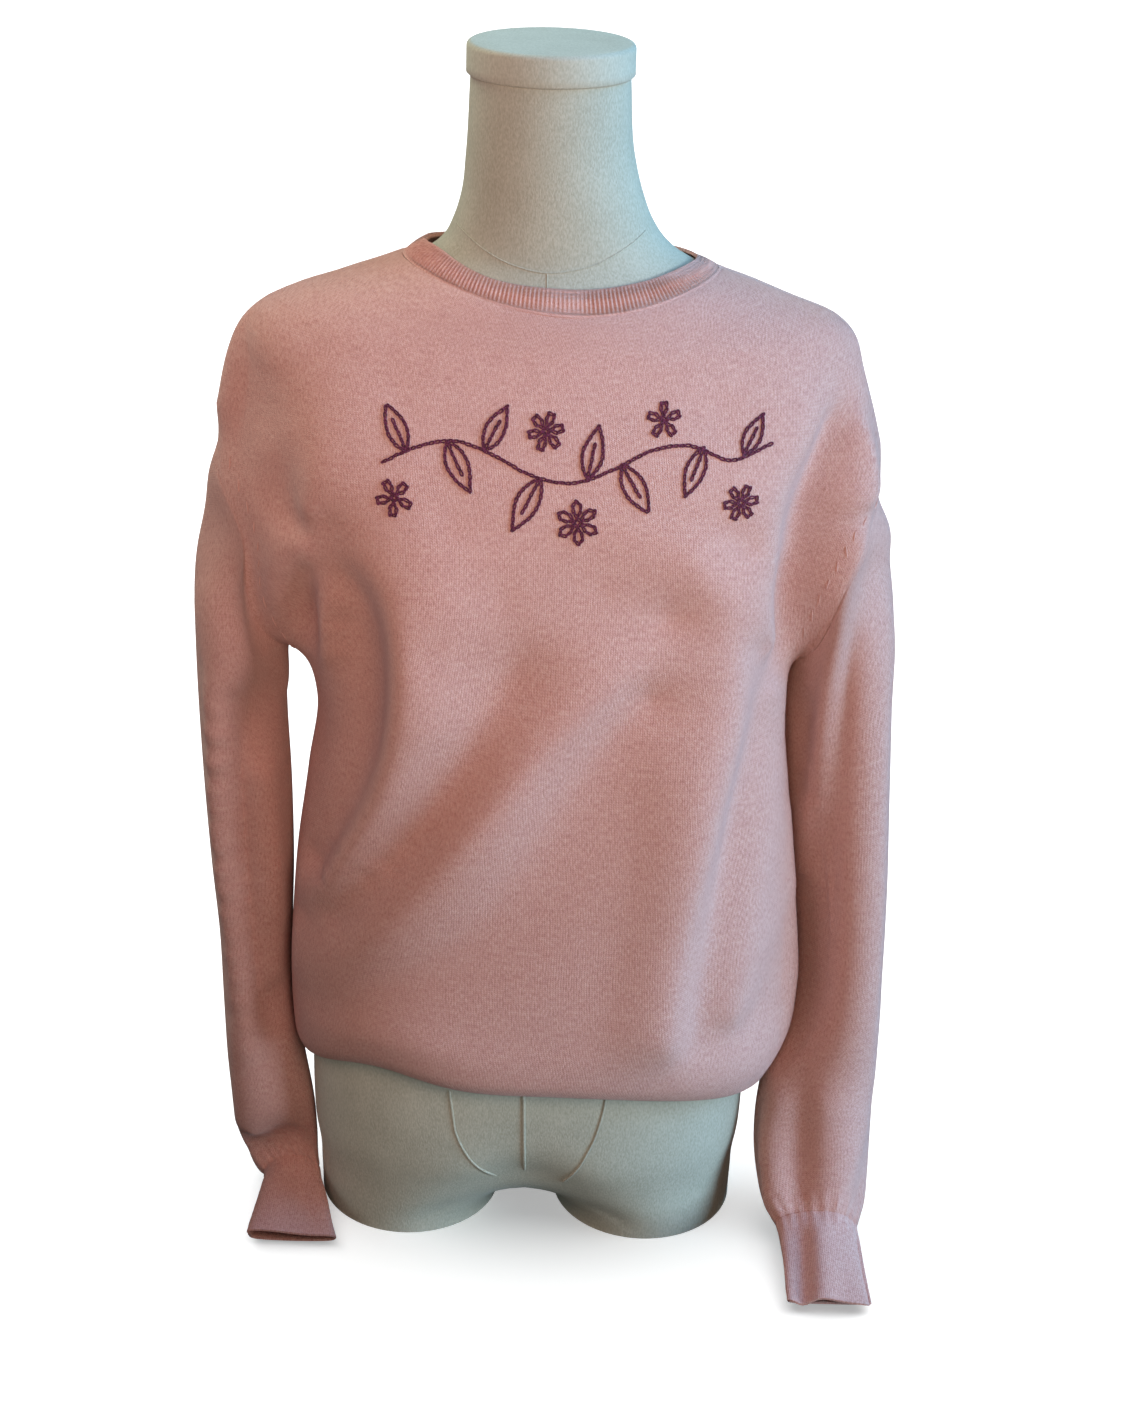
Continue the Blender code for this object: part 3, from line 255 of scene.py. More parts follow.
# Creases of the front and of the sleeves' fronts, each a line of (x, z, height) in
# millimetres: the cloth rises or sinks smoothly from one line to the next.
CREASES = (
    # crest down the left side
    ((-136, 546, 5.1), (-121, 535, 8.5), (-106, 523, 11.9), (-93, 506, 15.3), (-85, 483, 18.7),
     (-82, 451, 20.4), (-85, 415, 18.7), (-92, 382, 15.3), (-105, 348, 10.2), (-124, 312, 6.8),
     (-145, 275, 3.4), (-162, 243, 0)),
    # foot of its shaded side
    ((-123, 510, 1.7), (-114, 495, -1.7), (-106, 467, -4.7), (-104, 431, -6.8), (-108, 395, -8.5),
     (-118, 359, -8.5), (-133, 324, -8.5), (-151, 287, -8.5)),
    # flat beside the left edge
    ((-133, 474, 0), (-135, 426, -1.7), (-137, 379, -3.4), (-145, 334, -5.1), (-154, 299, -5.1)),
    # roll over the left armpit
    ((-157, 527, 6.8), (-164, 511, 6.8), (-170, 495, 6.8), (-176, 473, 6.8), (-180, 453, 6.8)),
    # hollow in the roll
    ((-154, 506, -1.7), (-158, 490, -8.5), (-158, 474, -13.6), (-156, 460, -15.3), (-156, 446, -11.9)),
    # inner lip of the roll
    ((-143, 505, 3.4), (-141, 487, 5.1), (-141, 466, 5.1), (-144, 443, 3.4)),
    # sheet right of the crest
    ((-64, 477, 13.6), (-59, 443, 11.9), (-60, 414, 8.5)),
    # long trough
    ((40, 516, -2.1), (18, 510, -2.7), (-1, 486, -3.4), (-17, 454, -8.4), (-34, 421, -6.3),
     (-52, 388, -5.3), (-71, 357, -5.3), (-91, 325, -6.3), (-122, 281, -4.3), (-138, 254, -5.1)),
    # long lit crest
    ((85, 495, 1.4), (60, 461, 4.1), (36, 436, 5.4), (7, 408, 6.8), (-18, 373, 8.2), (-45, 336, 8.2),
     (-71, 302, 5.4), (-98, 266, 2.7), (-127, 233, 0), (-162, 186, 0)),
    # trough below it
    ((75, 439, -2.1), (52, 417, -4.2), (31, 385, -5.3), (9, 345, -6.3), (-13, 307, -7.4),
     (-40, 269, -8.4), (-73, 238, -7.4), (-109, 213, -5.3), (-146, 178, -3.2)),
    # lower belly
    ((45, 313, -3.4), (27, 262, -5.1), (9, 216, -5.1), (-5, 176, -3.4)),
    # hem roll left
    ((-153, 150, 1.7), (-113, 165, 3.4), (-74, 176, 0)),
    # right belly
    ((71, 369, 3.4), (67, 297, 3.4), (59, 238, 0), (49, 185, 0)),
    # upright crest
    ((98, 533, 11.9), (114, 495, 17), (122, 463, 20.4), (123, 427, 22.1), (121, 392, 20.4),
     (116, 359, 18.7), (111, 324, 17), (106, 288, 13.6), (101, 253, 10.2), (98, 216, 8.5), (97, 180, 6.8)),
    # upright foot
    ((142, 468, 10.2), (141, 425, 6.8), (138, 384, 1.7), (134, 343, -3.4), (129, 302, -5.1),
     (124, 260, -5.1), (120, 216, -6.8), (117, 173, -6.8)),
    # second upright
    ((156, 425, 6.8), (156, 375, 3.4), (158, 326, 1.7), (154, 278, 0), (149, 237, -1.7), (145, 194, -3.4)),
    # right side
    ((170, 405, 3.4), (172, 350, 1.7), (178, 292, -1.7), (177, 251, -5.1), (171, 208, -10.2),
     (158, 172, -10.2)),
    # under the bust
    ((-23, 510, -2.2), (2, 510, -2.6)),
    # bust
    ((-57, 558, 1.7), (-12, 555, 0), (26, 562, 1.7), (65, 554, 5.1), (103, 558, 6.8), (131, 539, 8.5)),
    # chest edge
    ((192, 631, 0), (176, 601, 1.7), (159, 572, 3.4), (151, 539, 6.8), (149, 504, 8.5), (154, 465, 8.5)),
    # right armhole hollow
    ((194, 608, -10.2), (189, 587, -15.3), (184, 561, -20.4), (178, 530, -23.8), (172, 498, -23.8),
     (168, 470, -18.7), (167, 448, -11.9)),
    # beyond the hollow
    ((207, 600, 5.1), (206, 573, 6.8), (205, 548, 10.2), (203, 514, 10.2), (199, 483, 10.2)),
    # upper chest
    ((-91, 628, -0.9), (-45, 634, -1.2), (4, 636, -1.7), (63, 634, -1.7), (114, 619, 0)),
    # left shoulder shade
    ((-184, 644, 0), (-187, 613, -6.8), (-183, 583, -5.1)),
    # left breast
    ((-137, 610, 3.4), (-144, 578, 6.8), (-148, 551, 6.8)),
    # collar edge
    ((-94, 689, 0), (-48, 675, 0), (16, 674, 0), (80, 681, 0), (113, 690, 0)),
    # right shoulder
    ((166, 666, 0), (126, 670, 0)),
    # left shoulder
    ((-159, 665, 0), (-133, 680, 0)),
    # inside of the left armhole
    ((-182, 524, 1.7), (-187, 506, -1.7), (-191, 486, -5.1), (-191, 467, -6.8)),
    # left armhole shade
    ((-167, 593, -1.7), (-166, 567, -5.1), (-163, 550, -5.1), (-159, 534, -1.7)),
    # ridge down the right sleeve
    ((201, 456, 6.8), (200, 426, 6.8), (198, 384, 6.8), (195, 343, 5.1), (192, 301, 3.4), (191, 267, 1.7)),
    # band beside the trunk
    ((186, 412, -3.4), (186, 372, -3.4), (185, 332, -1.7)),
    # foot of the ridge
    ((216, 523, -5.1), (213, 494, -6.8), (210, 467, -6.8), (208, 427, -5.1), (204, 386, -3.4),
     (201, 348, -3.4), (200, 306, -5.1), (199, 267, -6.8), (200, 222, -6.8), (201, 183, -5.1)),
    # rise to the right edge
    ((223, 517, -1.7), (220, 482, -3.4), (217, 441, -1.7), (217, 398, -1.7), (215, 355, -3.4),
     (215, 308, -3.4), (215, 260, -3.4), (214, 210, -1.7), (212, 155, 0)),
    # lit edge of the right sleeve
    ((232, 503, 3.4), (233, 450, 5.1), (233, 395, 5.1), (234, 337, 5.1), (236, 275, 5.1), (237, 213, 5.1),
     (239, 148, 5.1), (238, 99, 5.1), (235, 65, 6.8), (230, 45, 5.1)),
    # beyond that edge
    ((249, 62, 0), (244, 40, -3.4)),
    # first crease above the right cuff
    ((200, 142, -3.4), (198, 103, -5.1), (196, 67, -5.1), (197, 39, -5.1)),
    # left of the creases
    ((182, 97, 1.7), (182, 63, 3.4), (185, 34, 1.7)),
    # right of the creases
    ((210, 104, 1.7), (211, 68, 3.4), (210, 40, 1.7)),
    # outer crest of the left sleeve
    ((-220, 472, 3.4), (-217, 432, 5.1), (-217, 394, 6.8), (-217, 332, 6.8), (-216, 286, 6.8),
     (-211, 234, 5.1), (-206, 183, 3.4), (-200, 126, 1.7)),
    # trough beside it
    ((-206, 400, -5.1), (-205, 377, -8.5), (-203, 330, -10.2), (-202, 283, -10.2), (-197, 233, -8.5),
     (-192, 183, -6.8), (-188, 135, -5.1), (-185, 87, -1.7)),
    # inner crest
    ((-186, 342, 1.7), (-184, 304, 3.4), (-182, 256, 5.1), (-178, 220, 5.1), (-177, 183, 3.4)),
    # outer side
    ((-231, 415, 0), (-230, 341, 0), (-225, 247, 0), (-218, 151, 0)),
    # slump above the left cuff
    ((-207, 105, 1.7), (-204, 69, 3.4), (-198, 49, 3.4)),
    # fold above the left cuff
    ((-209, 33, -3.4), (-201, 35, -6.8), (-192, 37, -6.8), (-182, 42, -6.8), (-174, 47, -6.8)),
    # slumped end
    ((-205, 22, 1.7), (-196, 16, 5.1), (-184, 14, 5.1), (-172, 18, 3.4)),
)
# Folds pressed into the back: height (a ridge is positive), half width towards the
# upper left and towards the lower right, and the fold's line downwards as (x, z),
# seen from the front.
BACK_FOLDS = (
    (-.0065, .020, .028, ((-.085, .500), (-.040, .450), (.020, .380), (.080, .312), (.145, .258))),
    (.0060, .022, .016, ((-.100, .470), (-.050, .415), (.010, .350), (.070, .285), (.145, .220))),
    (.0045, .018, .020, ((-.125, .500), (-.122, .430), (-.116, .330), (-.105, .180))),
    (-.0100, .014, .014, ((.168, .610), (.172, .570), (.172, .510), (.166, .455))),
    (-.0100, .014, .014, ((-.166, .620), (-.172, .575), (-.172, .510), (-.164, .455))),
    (.0040, .014, .018, ((.060, .440), (.066, .360), (.060, .290), (.048, .200))),
    (-.0050, .022, .022, ((.000, .600), (-.010, .540), (-.030, .470))),
)
# Folds down the back of a sleeve: degrees round it (0 outer side, 90 front, 180
# inner side) and share of its length, both at the start and the end; half width in
# degrees; height.
LEFT_SLEEVE_FOLDS = (
    (250., 262., .10, .60, 26., -.0040),
    (290., 285., .15, .55, 18., .0020),
)
RIGHT_SLEEVE_FOLDS = (
    (262., 250., .10, .70, 26., -.0040),
    (240., 228., .30, .90, 14., .0025),
)
# Side, height, reach and amount of the rounding where each sleeve leaves its shoulder.
SHOULDER_FILL = ((-1, .553, .024, .0066), (1, .522, .0180, .0058))
# Where the right sleeve hangs against the trunk, the cloth of both gives way
# backwards, so that the trunk's edge stands in front of the sleeve.
TUCK = {"x": .190, "reach": .026, "from_y": -.030, "to_y": .040, "share": .34, "low": .08, "high": .52}
# Each side's sign and word, the front's and back's edge columns there, its sleeve,
# the folds of the sleeve's back, and its cuff.
SIDES = (
    (-1, "left", 0, -1, SLEEVE_LEFT, LEFT_SLEEVE_FOLDS, CUFF_LEFT),
    (1, "right", -1, 0, SLEEVE_RIGHT, RIGHT_SLEEVE_FOLDS, CUFF_RIGHT),
)


# ---------------------------------------------------------------- small tools
def smooth_curve(at, knots, values):
    """Cubic through the knots, with each tangent read from its neighbours."""
    knots, values = np.asarray(knots, float), np.asarray(values, float)
    slopes = np.gradient(values, knots)
    at = np.clip(np.asarray(at, float), knots[0], knots[-1])
    i = np.clip(np.searchsorted(knots, at, side="right") - 1, 0, len(knots) - 2)
    span = knots[i + 1] - knots[i]
    t = (at - knots[i]) / span
    return ((2 * t**3 - 3 * t**2 + 1) * values[i] + (t**3 - 2 * t**2 + t) * span * slopes[i]
            + (3 * t**2 - 2 * t**3) * values[i + 1] + (t**3 - t**2) * span * slopes[i + 1])


def read_table(table, key, at):
    """Every column of a table but its key, read smoothly at the given places."""
    return {name: smooth_curve(at, table[key], column) for name, column in table.items() if name != key}


def through(points, count):
    """A smooth run of evenly placed points through the given ones."""
    points = np.asarray(points, float)
    at, knots = np.linspace(0.0, len(points) - 1.0, count), np.arange(len(points))
    return np.stack([smooth_curve(at, knots, column) for column in points.T], axis=-1)


def unit(vectors):
    """The vectors at length 1."""
    return vectors / np.maximum(np.linalg.norm(vectors, axis=-1, keepdims=True), 1e-12)


def ramp(t):
    """From 0 to 1 with a soft start and end."""
    t = np.clip(t, 0.0, 1.0)
    return t * t * (3.0 - 2.0 * t)


def ripple(*places, seed=0):
    """A smooth, uneven value between about -1 and 1, from a few sines of the places (in waves)."""
    value, dice = 0.0, np.random.default_rng(seed)
    for _ in range(5):
        turn = dice.uniform(0.0, 2.0 * math.pi)
        waves = dice.uniform(-6.5, 6.5, len(places))
        value = value + np.sin(sum(place * wave for place, wave in zip(places, waves)) + turn)
    return value / 2.6


def linear(hex_colour):
    """An sRGB hex colour as linear red, green, blue and alpha."""
    parts = [int(hex_colour[i:i + 2], 16) / 255.0 for i in (1, 3, 5)]
    return tuple(c / 12.92 if c <= 0.04045 else ((c + 0.055) / 1.055) ** 2.4 for c in parts) + (1.0,)


def add_node(tree, kind, links=None, **settings):
    """Add a shader node: settings are its own options, links give its inputs values or other outputs."""
    node = tree.nodes.new(kind)
    for key, value in settings.items():
        setattr(node, key, value)
    for key, value in (links or {}).items():
        if isinstance(value, bpy.types.NodeSocket):
            tree.links.new(value, node.inputs[key])
        else:
            node.inputs[key].default_value = value
    return node


# ---------------------------------------------------------------- surfaces
def form_level(points):
    """1 on the form's surface, more outside, from the section at each point's height."""
    section = read_table(FORM, "height", points[..., 2])
    x = (points[..., 0] - section["centre_x"]) / section["half_width"]
    y = points[..., 1] / np.where(points[..., 1] < 0.0, section["front"], section["back"])
    return (np.abs(x)**section["square"] + np.abs(y)**section["square"])**(1.0 / section["square"])


def form_distance(points):
    """Distance to the form and the outward direction, both to first order."""
    step = 0.0005
    slope = np.stack([(form_level(points + step * axis) - form_level(points - step * axis)) / (2 * step)
                      for axis in np.eye(3)], axis=-1)
    size = np.linalg.norm(slope, axis=-1)
    return (form_level(points) - 1.0) / size, slope / size[..., None]


def off_form(points, above=0.105):
    """Push out the points that lie nearer to the form than the cloth rests on it."""
    points = points.copy()
    for _ in range(5):
        distance, outward = form_distance(points)
        points += (np.maximum(REST - distance, 0.0) * (points[..., 2] > above))[..., None] * outward
    return points


def grid_normals(grid, closed, outward_sign=1.0):
    """Normals of a grid from its own rows and columns."""
    if closed:
        across = np.roll(grid, -1, axis=1) - np.roll(grid, 1, axis=1)
    else:
        across = np.gradient(grid, axis=1)
    return unit(np.cross(across, np.gradient(grid, axis=0))) * outward_sign


def softened(normals, closed, rounds=2):
    """Normals averaged with their neighbours', so the back of the cloth never folds through itself."""
    for _ in range(rounds):
        wide = np.pad(normals, ((1, 1), (0, 0), (0, 0)), mode="edge")
        normals = wide[:-2] + 2 * wide[1:-1] + wide[2:]
        wide = np.pad(normals, ((0, 0), (1, 1), (0, 0)), mode="wrap" if closed else "edge")
        normals = unit(wide[:, :-2] + 2 * wide[:, 1:-1] + wide[:, 2:])
    return normals


def flat_places(grid, closed, centre_column=0):
    """Each point's place in the flat cloth, in metres: along its row and along its column."""
    if closed:
        grid = np.concatenate([grid, grid[:, :1]], axis=1)
    steps = np.linalg.norm(np.diff(grid, axis=1), axis=-1)
    along_row = np.concatenate([np.zeros((len(grid), 1)), np.cumsum(steps, axis=1)], axis=1)
    along_row -= along_row[:, centre_column:centre_column + 1]
    rises = np.linalg.norm(np.diff(grid, axis=0), axis=-1).mean(axis=1)
    down_column = np.concatenate([[0.0], np.cumsum(rises)])
    return np.stack([along_row, np.repeat(down_column[:, None], grid.shape[1], axis=1)], axis=-1)


def mesh_object(name, points, faces, places=None):
    """A smooth-shaded mesh object; places become the UV map "fabric", in metres of flat cloth."""
    mesh = bpy.data.meshes.new(name)
    mesh.from_pydata(np.asarray(points).tolist(), [], [tuple(face) for face in faces])
    if places is not None:
        layer = mesh.uv_layers.new(name="fabric")
        layer.data.foreach_set("uv", np.ascontiguousarray(places, dtype=np.float32).ravel())
    mesh.shade_smooth()
    mesh.set_sharp_from_angle(angle=math.radians(55.0))
    piece = bpy.data.objects.new(name, mesh)
    bpy.context.scene.collection.objects.link(piece)
    return piece


def cloth_object(name, outer, wall, closed, sign=1.0, centre_column=0):
    """A knitted panel: its face, its back a wall further in, and the edges between them."""
    rows, columns = outer.shape[:2]
    inner = outer - wall * softened(grid_normals(outer, closed, sign), closed)
    points = np.concatenate([outer.reshape(-1, 3), inner.reshape(-1, 3)]) + AXIS
    places = flat_places(outer, closed, centre_column)
    shift = rows * columns
    r, c = np.meshgrid(np.arange(rows - 1), np.arange(columns if closed else columns - 1), indexing="ij")
    r, c = r.ravel(), c.ravel()
    here, beside = r * columns + c, r * columns + (c + 1) % columns
    quads = np.stack([here, beside, beside + columns, here + columns], axis=1)
    corners = np.stack([places[r, c], places[r, c + 1], places[r + 1, c + 1], places[r + 1, c]], axis=1)
    faces, face_places = [quads, quads[:, ::-1] + shift], [corners, corners[:, ::-1]]
    flat = places[:, :columns].reshape(-1, 2)
    runs = [(np.arange(columns), False), ((rows - 1) * columns + np.arange(columns), True)]
    if not closed:
        runs += [(np.arange(rows) * columns, True), (np.arange(rows) * columns + columns - 1, False)]
    for run, reverse in runs:
        a, b = (run, np.roll(run, -1)) if closed else (run[:-1], run[1:])
        rim = np.stack([b, a, a + shift, b + shift], axis=1)
        rim_places = np.stack([flat[b], flat[a], flat[a], flat[b]], axis=1)
        faces.append(rim[:, ::-1] if reverse else rim)
        face_places.append(rim_places[:, ::-1] if reverse else rim_places)
    faces, face_places = np.concatenate(faces), np.concatenate(face_places)
    if sign < 0:
        faces, face_places = faces[:, ::-1], face_places[:, ::-1]
    return mesh_object(name, points, faces, face_places)


def tube_object(name, runs, radius, sides=6, closed=False):
    """Round threads or cords along runs of points, each given with the surface normal under it."""
    points, faces = [], []
    ring = np.linspace(0.0, 2.0 * math.pi, sides, endpoint=False)
    for path, normal in runs:
        count, start = len(path), sum(len(p) for p in points)
        steps = np.roll(path, -1, axis=0) - np.roll(path, 1, axis=0) if closed else np.gradient(path, axis=0)
        ahead = unit(steps)
        side = unit(np.cross(ahead, normal))
        up = np.cross(side, ahead)
        ends = np.minimum(np.arange(count), np.arange(count)[::-1])
        thick = radius * (np.ones(count) if closed else np.minimum(1.0, 0.45 + 0.4 * ends))[:, None, None]
        around = side[:, None] * np.cos(ring)[None, :, None] + up[:, None] * np.sin(ring)[None, :, None]
        points.append((path[:, None] + thick * around).reshape(-1, 3))
        for i in range(count if closed else count - 1):
            j = (i + 1) % count
            faces += [(start + i * sides + k, start + i * sides + (k + 1) % sides,
                       start + j * sides + (k + 1) % sides, start + j * sides + k) for k in range(sides)]
        if not closed:
            faces.append(tuple(start + k for k in reversed(range(sides))))
            faces.append(tuple(start + (count - 1) * sides + k for k in range(sides)))
    return mesh_object(name, np.concatenate(points) + AXIS, faces)


def finish_piece(piece, material, slot_name, *nodes):
    """Give a piece its material and its body, and hide the solids it stands for; slot_name is not used."""
    piece.data.materials.clear()
    piece.data.materials.append(material)
    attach(piece, "root")
    if nodes:
        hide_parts(*nodes)
    return piece


# ---------------------------------------------------------------- folds
def fold_height(x, z, height, over, under, line):
    """One fold's share at each point: full on its line, fading over its widths and its ends."""
    line = through(line, 6 * len(line))
    nearest = np.full(x.shape, np.inf)
    along, turned = np.zeros(x.shape), np.zeros(x.shape)
    for i, (start, step) in enumerate(zip(line[:-1], np.diff(line, axis=0))):
        off_x, off_z = x - start[0], z - start[1]
        share = np.clip((off_x * step[0] + off_z * step[1]) / (step @ step), 0.0, 1.0)
        away = np.hypot(off_x - share * step[0], off_z - share * step[1])
        closer = away < nearest
        nearest = np.where(closer, away, nearest)
        along = np.where(closer, (i + share) / (len(line) - 1), along)
        turned = np.where(closer, step[0] * off_z - step[1] * off_x, turned)
    fade = ramp(along / 0.16) * ramp((1.0 - along) / 0.16)
    return height * fade * np.exp(-(nearest / np.where(turned < 0.0, over, under))**2)


def crease_field(x, z, creases, round_off=0.005, give=0.0006):
    """A surface stretched over the creases' lines, with their ridges and troughs rounded off."""
    points = np.concatenate([through(crease, 1 + 3 * (len(crease) - 1)) for crease in creases]) / 1000.0
    spread = np.sqrt(((points[:, None, :2] - points[None, :, :2])**2).sum(-1) + round_off**2)
    spread[np.diag_indices(len(points))] -= give
    shares = np.linalg.solve(spread, points[:, 2])
    height = np.zeros(x.shape)
    for (px, pz, _), share in zip(points, shares):
        height += share * np.sqrt((x - px)**2 + (z - pz)**2 + round_off**2)
    return height


def row_places():
    """Places of the body's fine rows, evenly spaced along its side and middle between the seams' ends."""
    places = []
    for low, high, count in ((0.0, UNDERARM, SIDE_ROWS), (UNDERARM, ARMHOLE_TOP, ARMHOLE_ROWS),
                             (ARMHOLE_TOP, NECKLINE, SHOULDER_ROWS)):
        at = np.linspace(low, high, 400)
        row = read_table(BODY, "v", at)
        step = (np.hypot(np.gradient(row["front_y"]), np.gradient(row["front_z"]))
                + np.hypot(np.gradient(row["left_x"]), np.gradient(row["left_z"])))
        if low == UNDERARM:
            step = np.ones_like(at)
        length = np.concatenate([[0.0], np.cumsum((step[1:] + step[:-1]) / 2)])
        places.append(np.interp(np.linspace(0.0, length[-1], count + 1), length, at)[(1 if places else 0):])
    return np.concatenate(places)


def body_half(side, places, columns):
    """The plain surface of the front (side -1) or back (side 1), row by row from the tucked hem."""
    rows = {name: column[:, None] for name, column in read_table(BODY, "v", places).items()}
    rows["spread"] = np.maximum(rows["spread"], 0.0)
    which = "front" if side < 0 else "back"
    reach = np.sin(np.linspace(-math.pi / 2, math.pi / 2, columns + 1))[None, :] * -side
    middle = rows[which + "_x"]
    end_x = np.where(reach < 0, rows["left_x"], rows["right_x"])
    end_z = np.where(reach < 0, rows["left_z"], rows["right_z"])
    trunk_x = np.where(reach < 0, rows["left_w"], rows["right_w"])
    size = np.abs(reach)
    crown = np.maximum(1.0 - size**rows["crown"], 0.0)**rows["edge"]
    x = middle + (trunk_x - middle) * size + (end_x - trunk_x) * size**SLEEVE_REACH
    y = side * rows["spread"] + (rows[which + "_y"] - side * rows["spread"]) * crown
    z = rows[which + "_z"] + (end_z - rows[which + "_z"]) * reach**2
    if side < 0:
        near_fold = np.exp(-((places[:, None] - HEM_LIFT["v"]) / HEM_LIFT["reach"])**2)
        z = z + HEM_LIFT["rise"] * near_fold * np.exp(-((x - HEM_LIFT["x"]) / HEM_LIFT["width"])**2)
    return np.stack([x, y, z], axis=-1)


def fold_panel(grid, places, side, strength):
    """Press the folds, and the cloth's small unevenness, into the front or back, and keep it off the form."""
    x, z = grid[..., 0], grid[..., 2]
    normals = grid_normals(grid, False)
    height = crease_field(x, z, CREASES) if side < 0 else sum(fold_height(x, z, *fold) for fold in BACK_FOLDS)
    height = height + 0.0009 * ripple(x / 0.11, z / 0.16, seed=4 + side)
    size = np.abs(np.sin(np.linspace(-math.pi / 2, math.pi / 2, grid.shape[1])))[None, :]
    edge = ramp((1.0 - size) / 0.05)
    if side < 0:
        armhole = (ramp((places - UNDERARM) / 0.5) * ramp((ARMHOLE_TOP - places) / 0.5))[:, None]
        edge = edge + (ramp((-normals[..., 1] - 0.1) / 0.5) - edge) * armhole
    height = height * ramp((places - TUCKED) / 0.8)[:, None] * edge
    folded = grid + normals * (height * strength)[..., None]
    outside = places > TUCKED
    folded[outside] = off_form(folded[outside])
    return folded


def tube_rows(table, places, turn, side):
    """Flattened round sections with rounded noses, tipped forward, along a sleeve or cuff."""
    row = read_table({"place": tuple(np.linspace(0.0, 1.0, len(table["x"]))), **table}, "place", places)
    row = {name: column[:, None] for name, column in row.items()}
    turn = turn[None, :]
    nose = np.minimum(SECTION_NOSE, row["half_depth"] * 0.9)
    wide, deep = row["half_width"] - nose, row["half_depth"] - nose
    across, behind = np.cos(turn), -np.sin(turn)
    size = np.hypot(across * deep + 1e-9, behind * wide)
    x = side * (wide * across + nose * (across * deep + 1e-9) / size)
    d = deep * behind + nose * behind * wide / size
    tip = np.radians(row["tip"])
    return np.stack([row["x"] + x, row["y"] + d * np.cos(tip), row["z"] - d * np.sin(tip)], axis=-1)


def fold_tube(grid, rim, side, places, turn, folds, strength):
    """Press the creases of a sleeve's front, the folds of its back and its small unevenness into its grid."""
    wander = ripple(np.cos(turn)[None, :] / 2.5, np.sin(turn)[None, :] / 2.5, places[:, None] * 2.4,
                    seed=21 + side)
    height = 0.0008 * wander * ramp(places / 0.06)[:, None]
    for turn0, turn1, start, end, width, rise in folds:
        line = turn0 + (turn1 - turn0) * np.clip((places - start) / (end - start), 0.0, 1.0)[:, None]
        away = (np.degrees(turn)[None, :] - line + 180.0) % 360.0 - 180.0
        fade = ramp((places - start) / 0.10 + 0.3) * ramp((end - places) / 0.10 + 0.3)
        height += rise * fade[:, None] * np.exp(-(away / width)**2)
    normals = grid_normals(grid, True, side)
    height += crease_field(grid[..., 0], grid[..., 2], CREASES) * ramp((-normals[..., 1] - 0.2) / 0.5)
    # Fine gathers where the sleeve is sewn to its cuff.
    gathers = np.sin(19 * turn) + 0.6 * np.sin(7 * turn + 1.0)
    height += 0.0004 * gathers[None, :] * ramp((places - 0.92) / 0.06)[:, None]
    moved = normals * (height * strength)[..., None]
    own = ramp(places / 0.12)[:, None, None]
    return grid + moved * own + (rim - grid[0])[None] * (1.0 - own)


def filled(points):
    """Round out the outline where the sleeves leave the shoulders."""
    points = points.copy()
    for side, height, reach, out in SHOULDER_FILL:
        near = np.exp(-((points[..., 2] - height) / reach)**2) * ramp((side * points[..., 0] - 0.14) / 0.05)
        points[..., 0] += side * out * near
    return points


def tucked(points):
    """Let the cloth between the trunk and the right sleeve give way."""
    x, y, z = points[..., 0], points[..., 1], points[..., 2]
    height = ramp((z - TUCK["low"]) / 0.07) * ramp((TUCK["high"] - z) / 0.08)
    near = np.exp(-((x - TUCK["x"]) / TUCK["reach"])**2)
    behind = np.clip(y - TUCK["from_y"], 0.0, TUCK["to_y"] - TUCK["from_y"])
    moved = points.copy()
    moved[..., 0] -= TUCK["share"] * behind * near * height
    return moved


def seam_dip(grid, closed, sign, rows, depth=0.0007, width=0.0022):
    """Sink the cloth beside its seams at the given edge rows."""
    grid = grid.copy()
    normals = grid_normals(grid, closed, sign)
    for edge in rows:
        away = np.linalg.norm(grid - grid[edge][None], axis=-1)
        grid -= normals * (depth * np.exp(-(away / width)**2))[..., None]
    return grid


def relaxed(grids, masks, welds, rounds, square=True):
    """Smooth joined grids where their masks allow it, square to their surface or freely.

    welds lists pairs of (grid, index) that name the same points.
    """
    ids, total = {}, 0
    for name, grid in grids.items():
        size = grid.shape[0] * grid.shape[1]
        ids[name] = total + np.arange(size).reshape(grid.shape[:2])
        total += size
    for (one, here), (other, there) in welds:
        ids[one][here] = ids[other][there]
    points = np.zeros((total, 3))
    mask = np.zeros(total)
    pairs = []
    for name, grid in grids.items():
        own = ids[name]
        points[own.ravel()] = grid.reshape(-1, 3)
        mask[own.ravel()] = masks[name].ravel()
        ring = np.concatenate([own, own[:, :1]], axis=1) if name.startswith("sleeve") else own
        pairs += [np.stack([own[:-1].ravel(), own[1:].ravel()]),
                  np.stack([ring[:, :-1].ravel(), ring[:, 1:].ravel()])]
    one, other = np.concatenate(pairs, axis=1)
    busy = (mask[one] > 0) | (mask[other] > 0)
    one, other = np.concatenate([one[busy], other[busy]]), np.concatenate([other[busy], one[busy]])
    count = np.maximum(np.bincount(one, minlength=total), 1)
    for turn in range(rounds):
        if turn % 25 == 0:
            normals = np.zeros((total, 3))
            for name in grids:
                sign = -1.0 if name == "sleeve_left" else 1.0
                facing = grid_normals(points[ids[name]], name.startswith("sleeve"), sign)
                np.add.at(normals, ids[name].ravel(), facing.reshape(-1, 3))
            normals = unit(normals)
        mean = np.stack([np.bincount(one, points[other, k], minlength=total) for k in range(3)], axis=-1)
        pull = (mean / count[:, None] - points) * mask[:, None]
        points = points + (0.8 * (pull * normals).sum(axis=1)[:, None] * normals if square else 0.5 * pull)
    return {name: points[ids[name]] for name in grids}


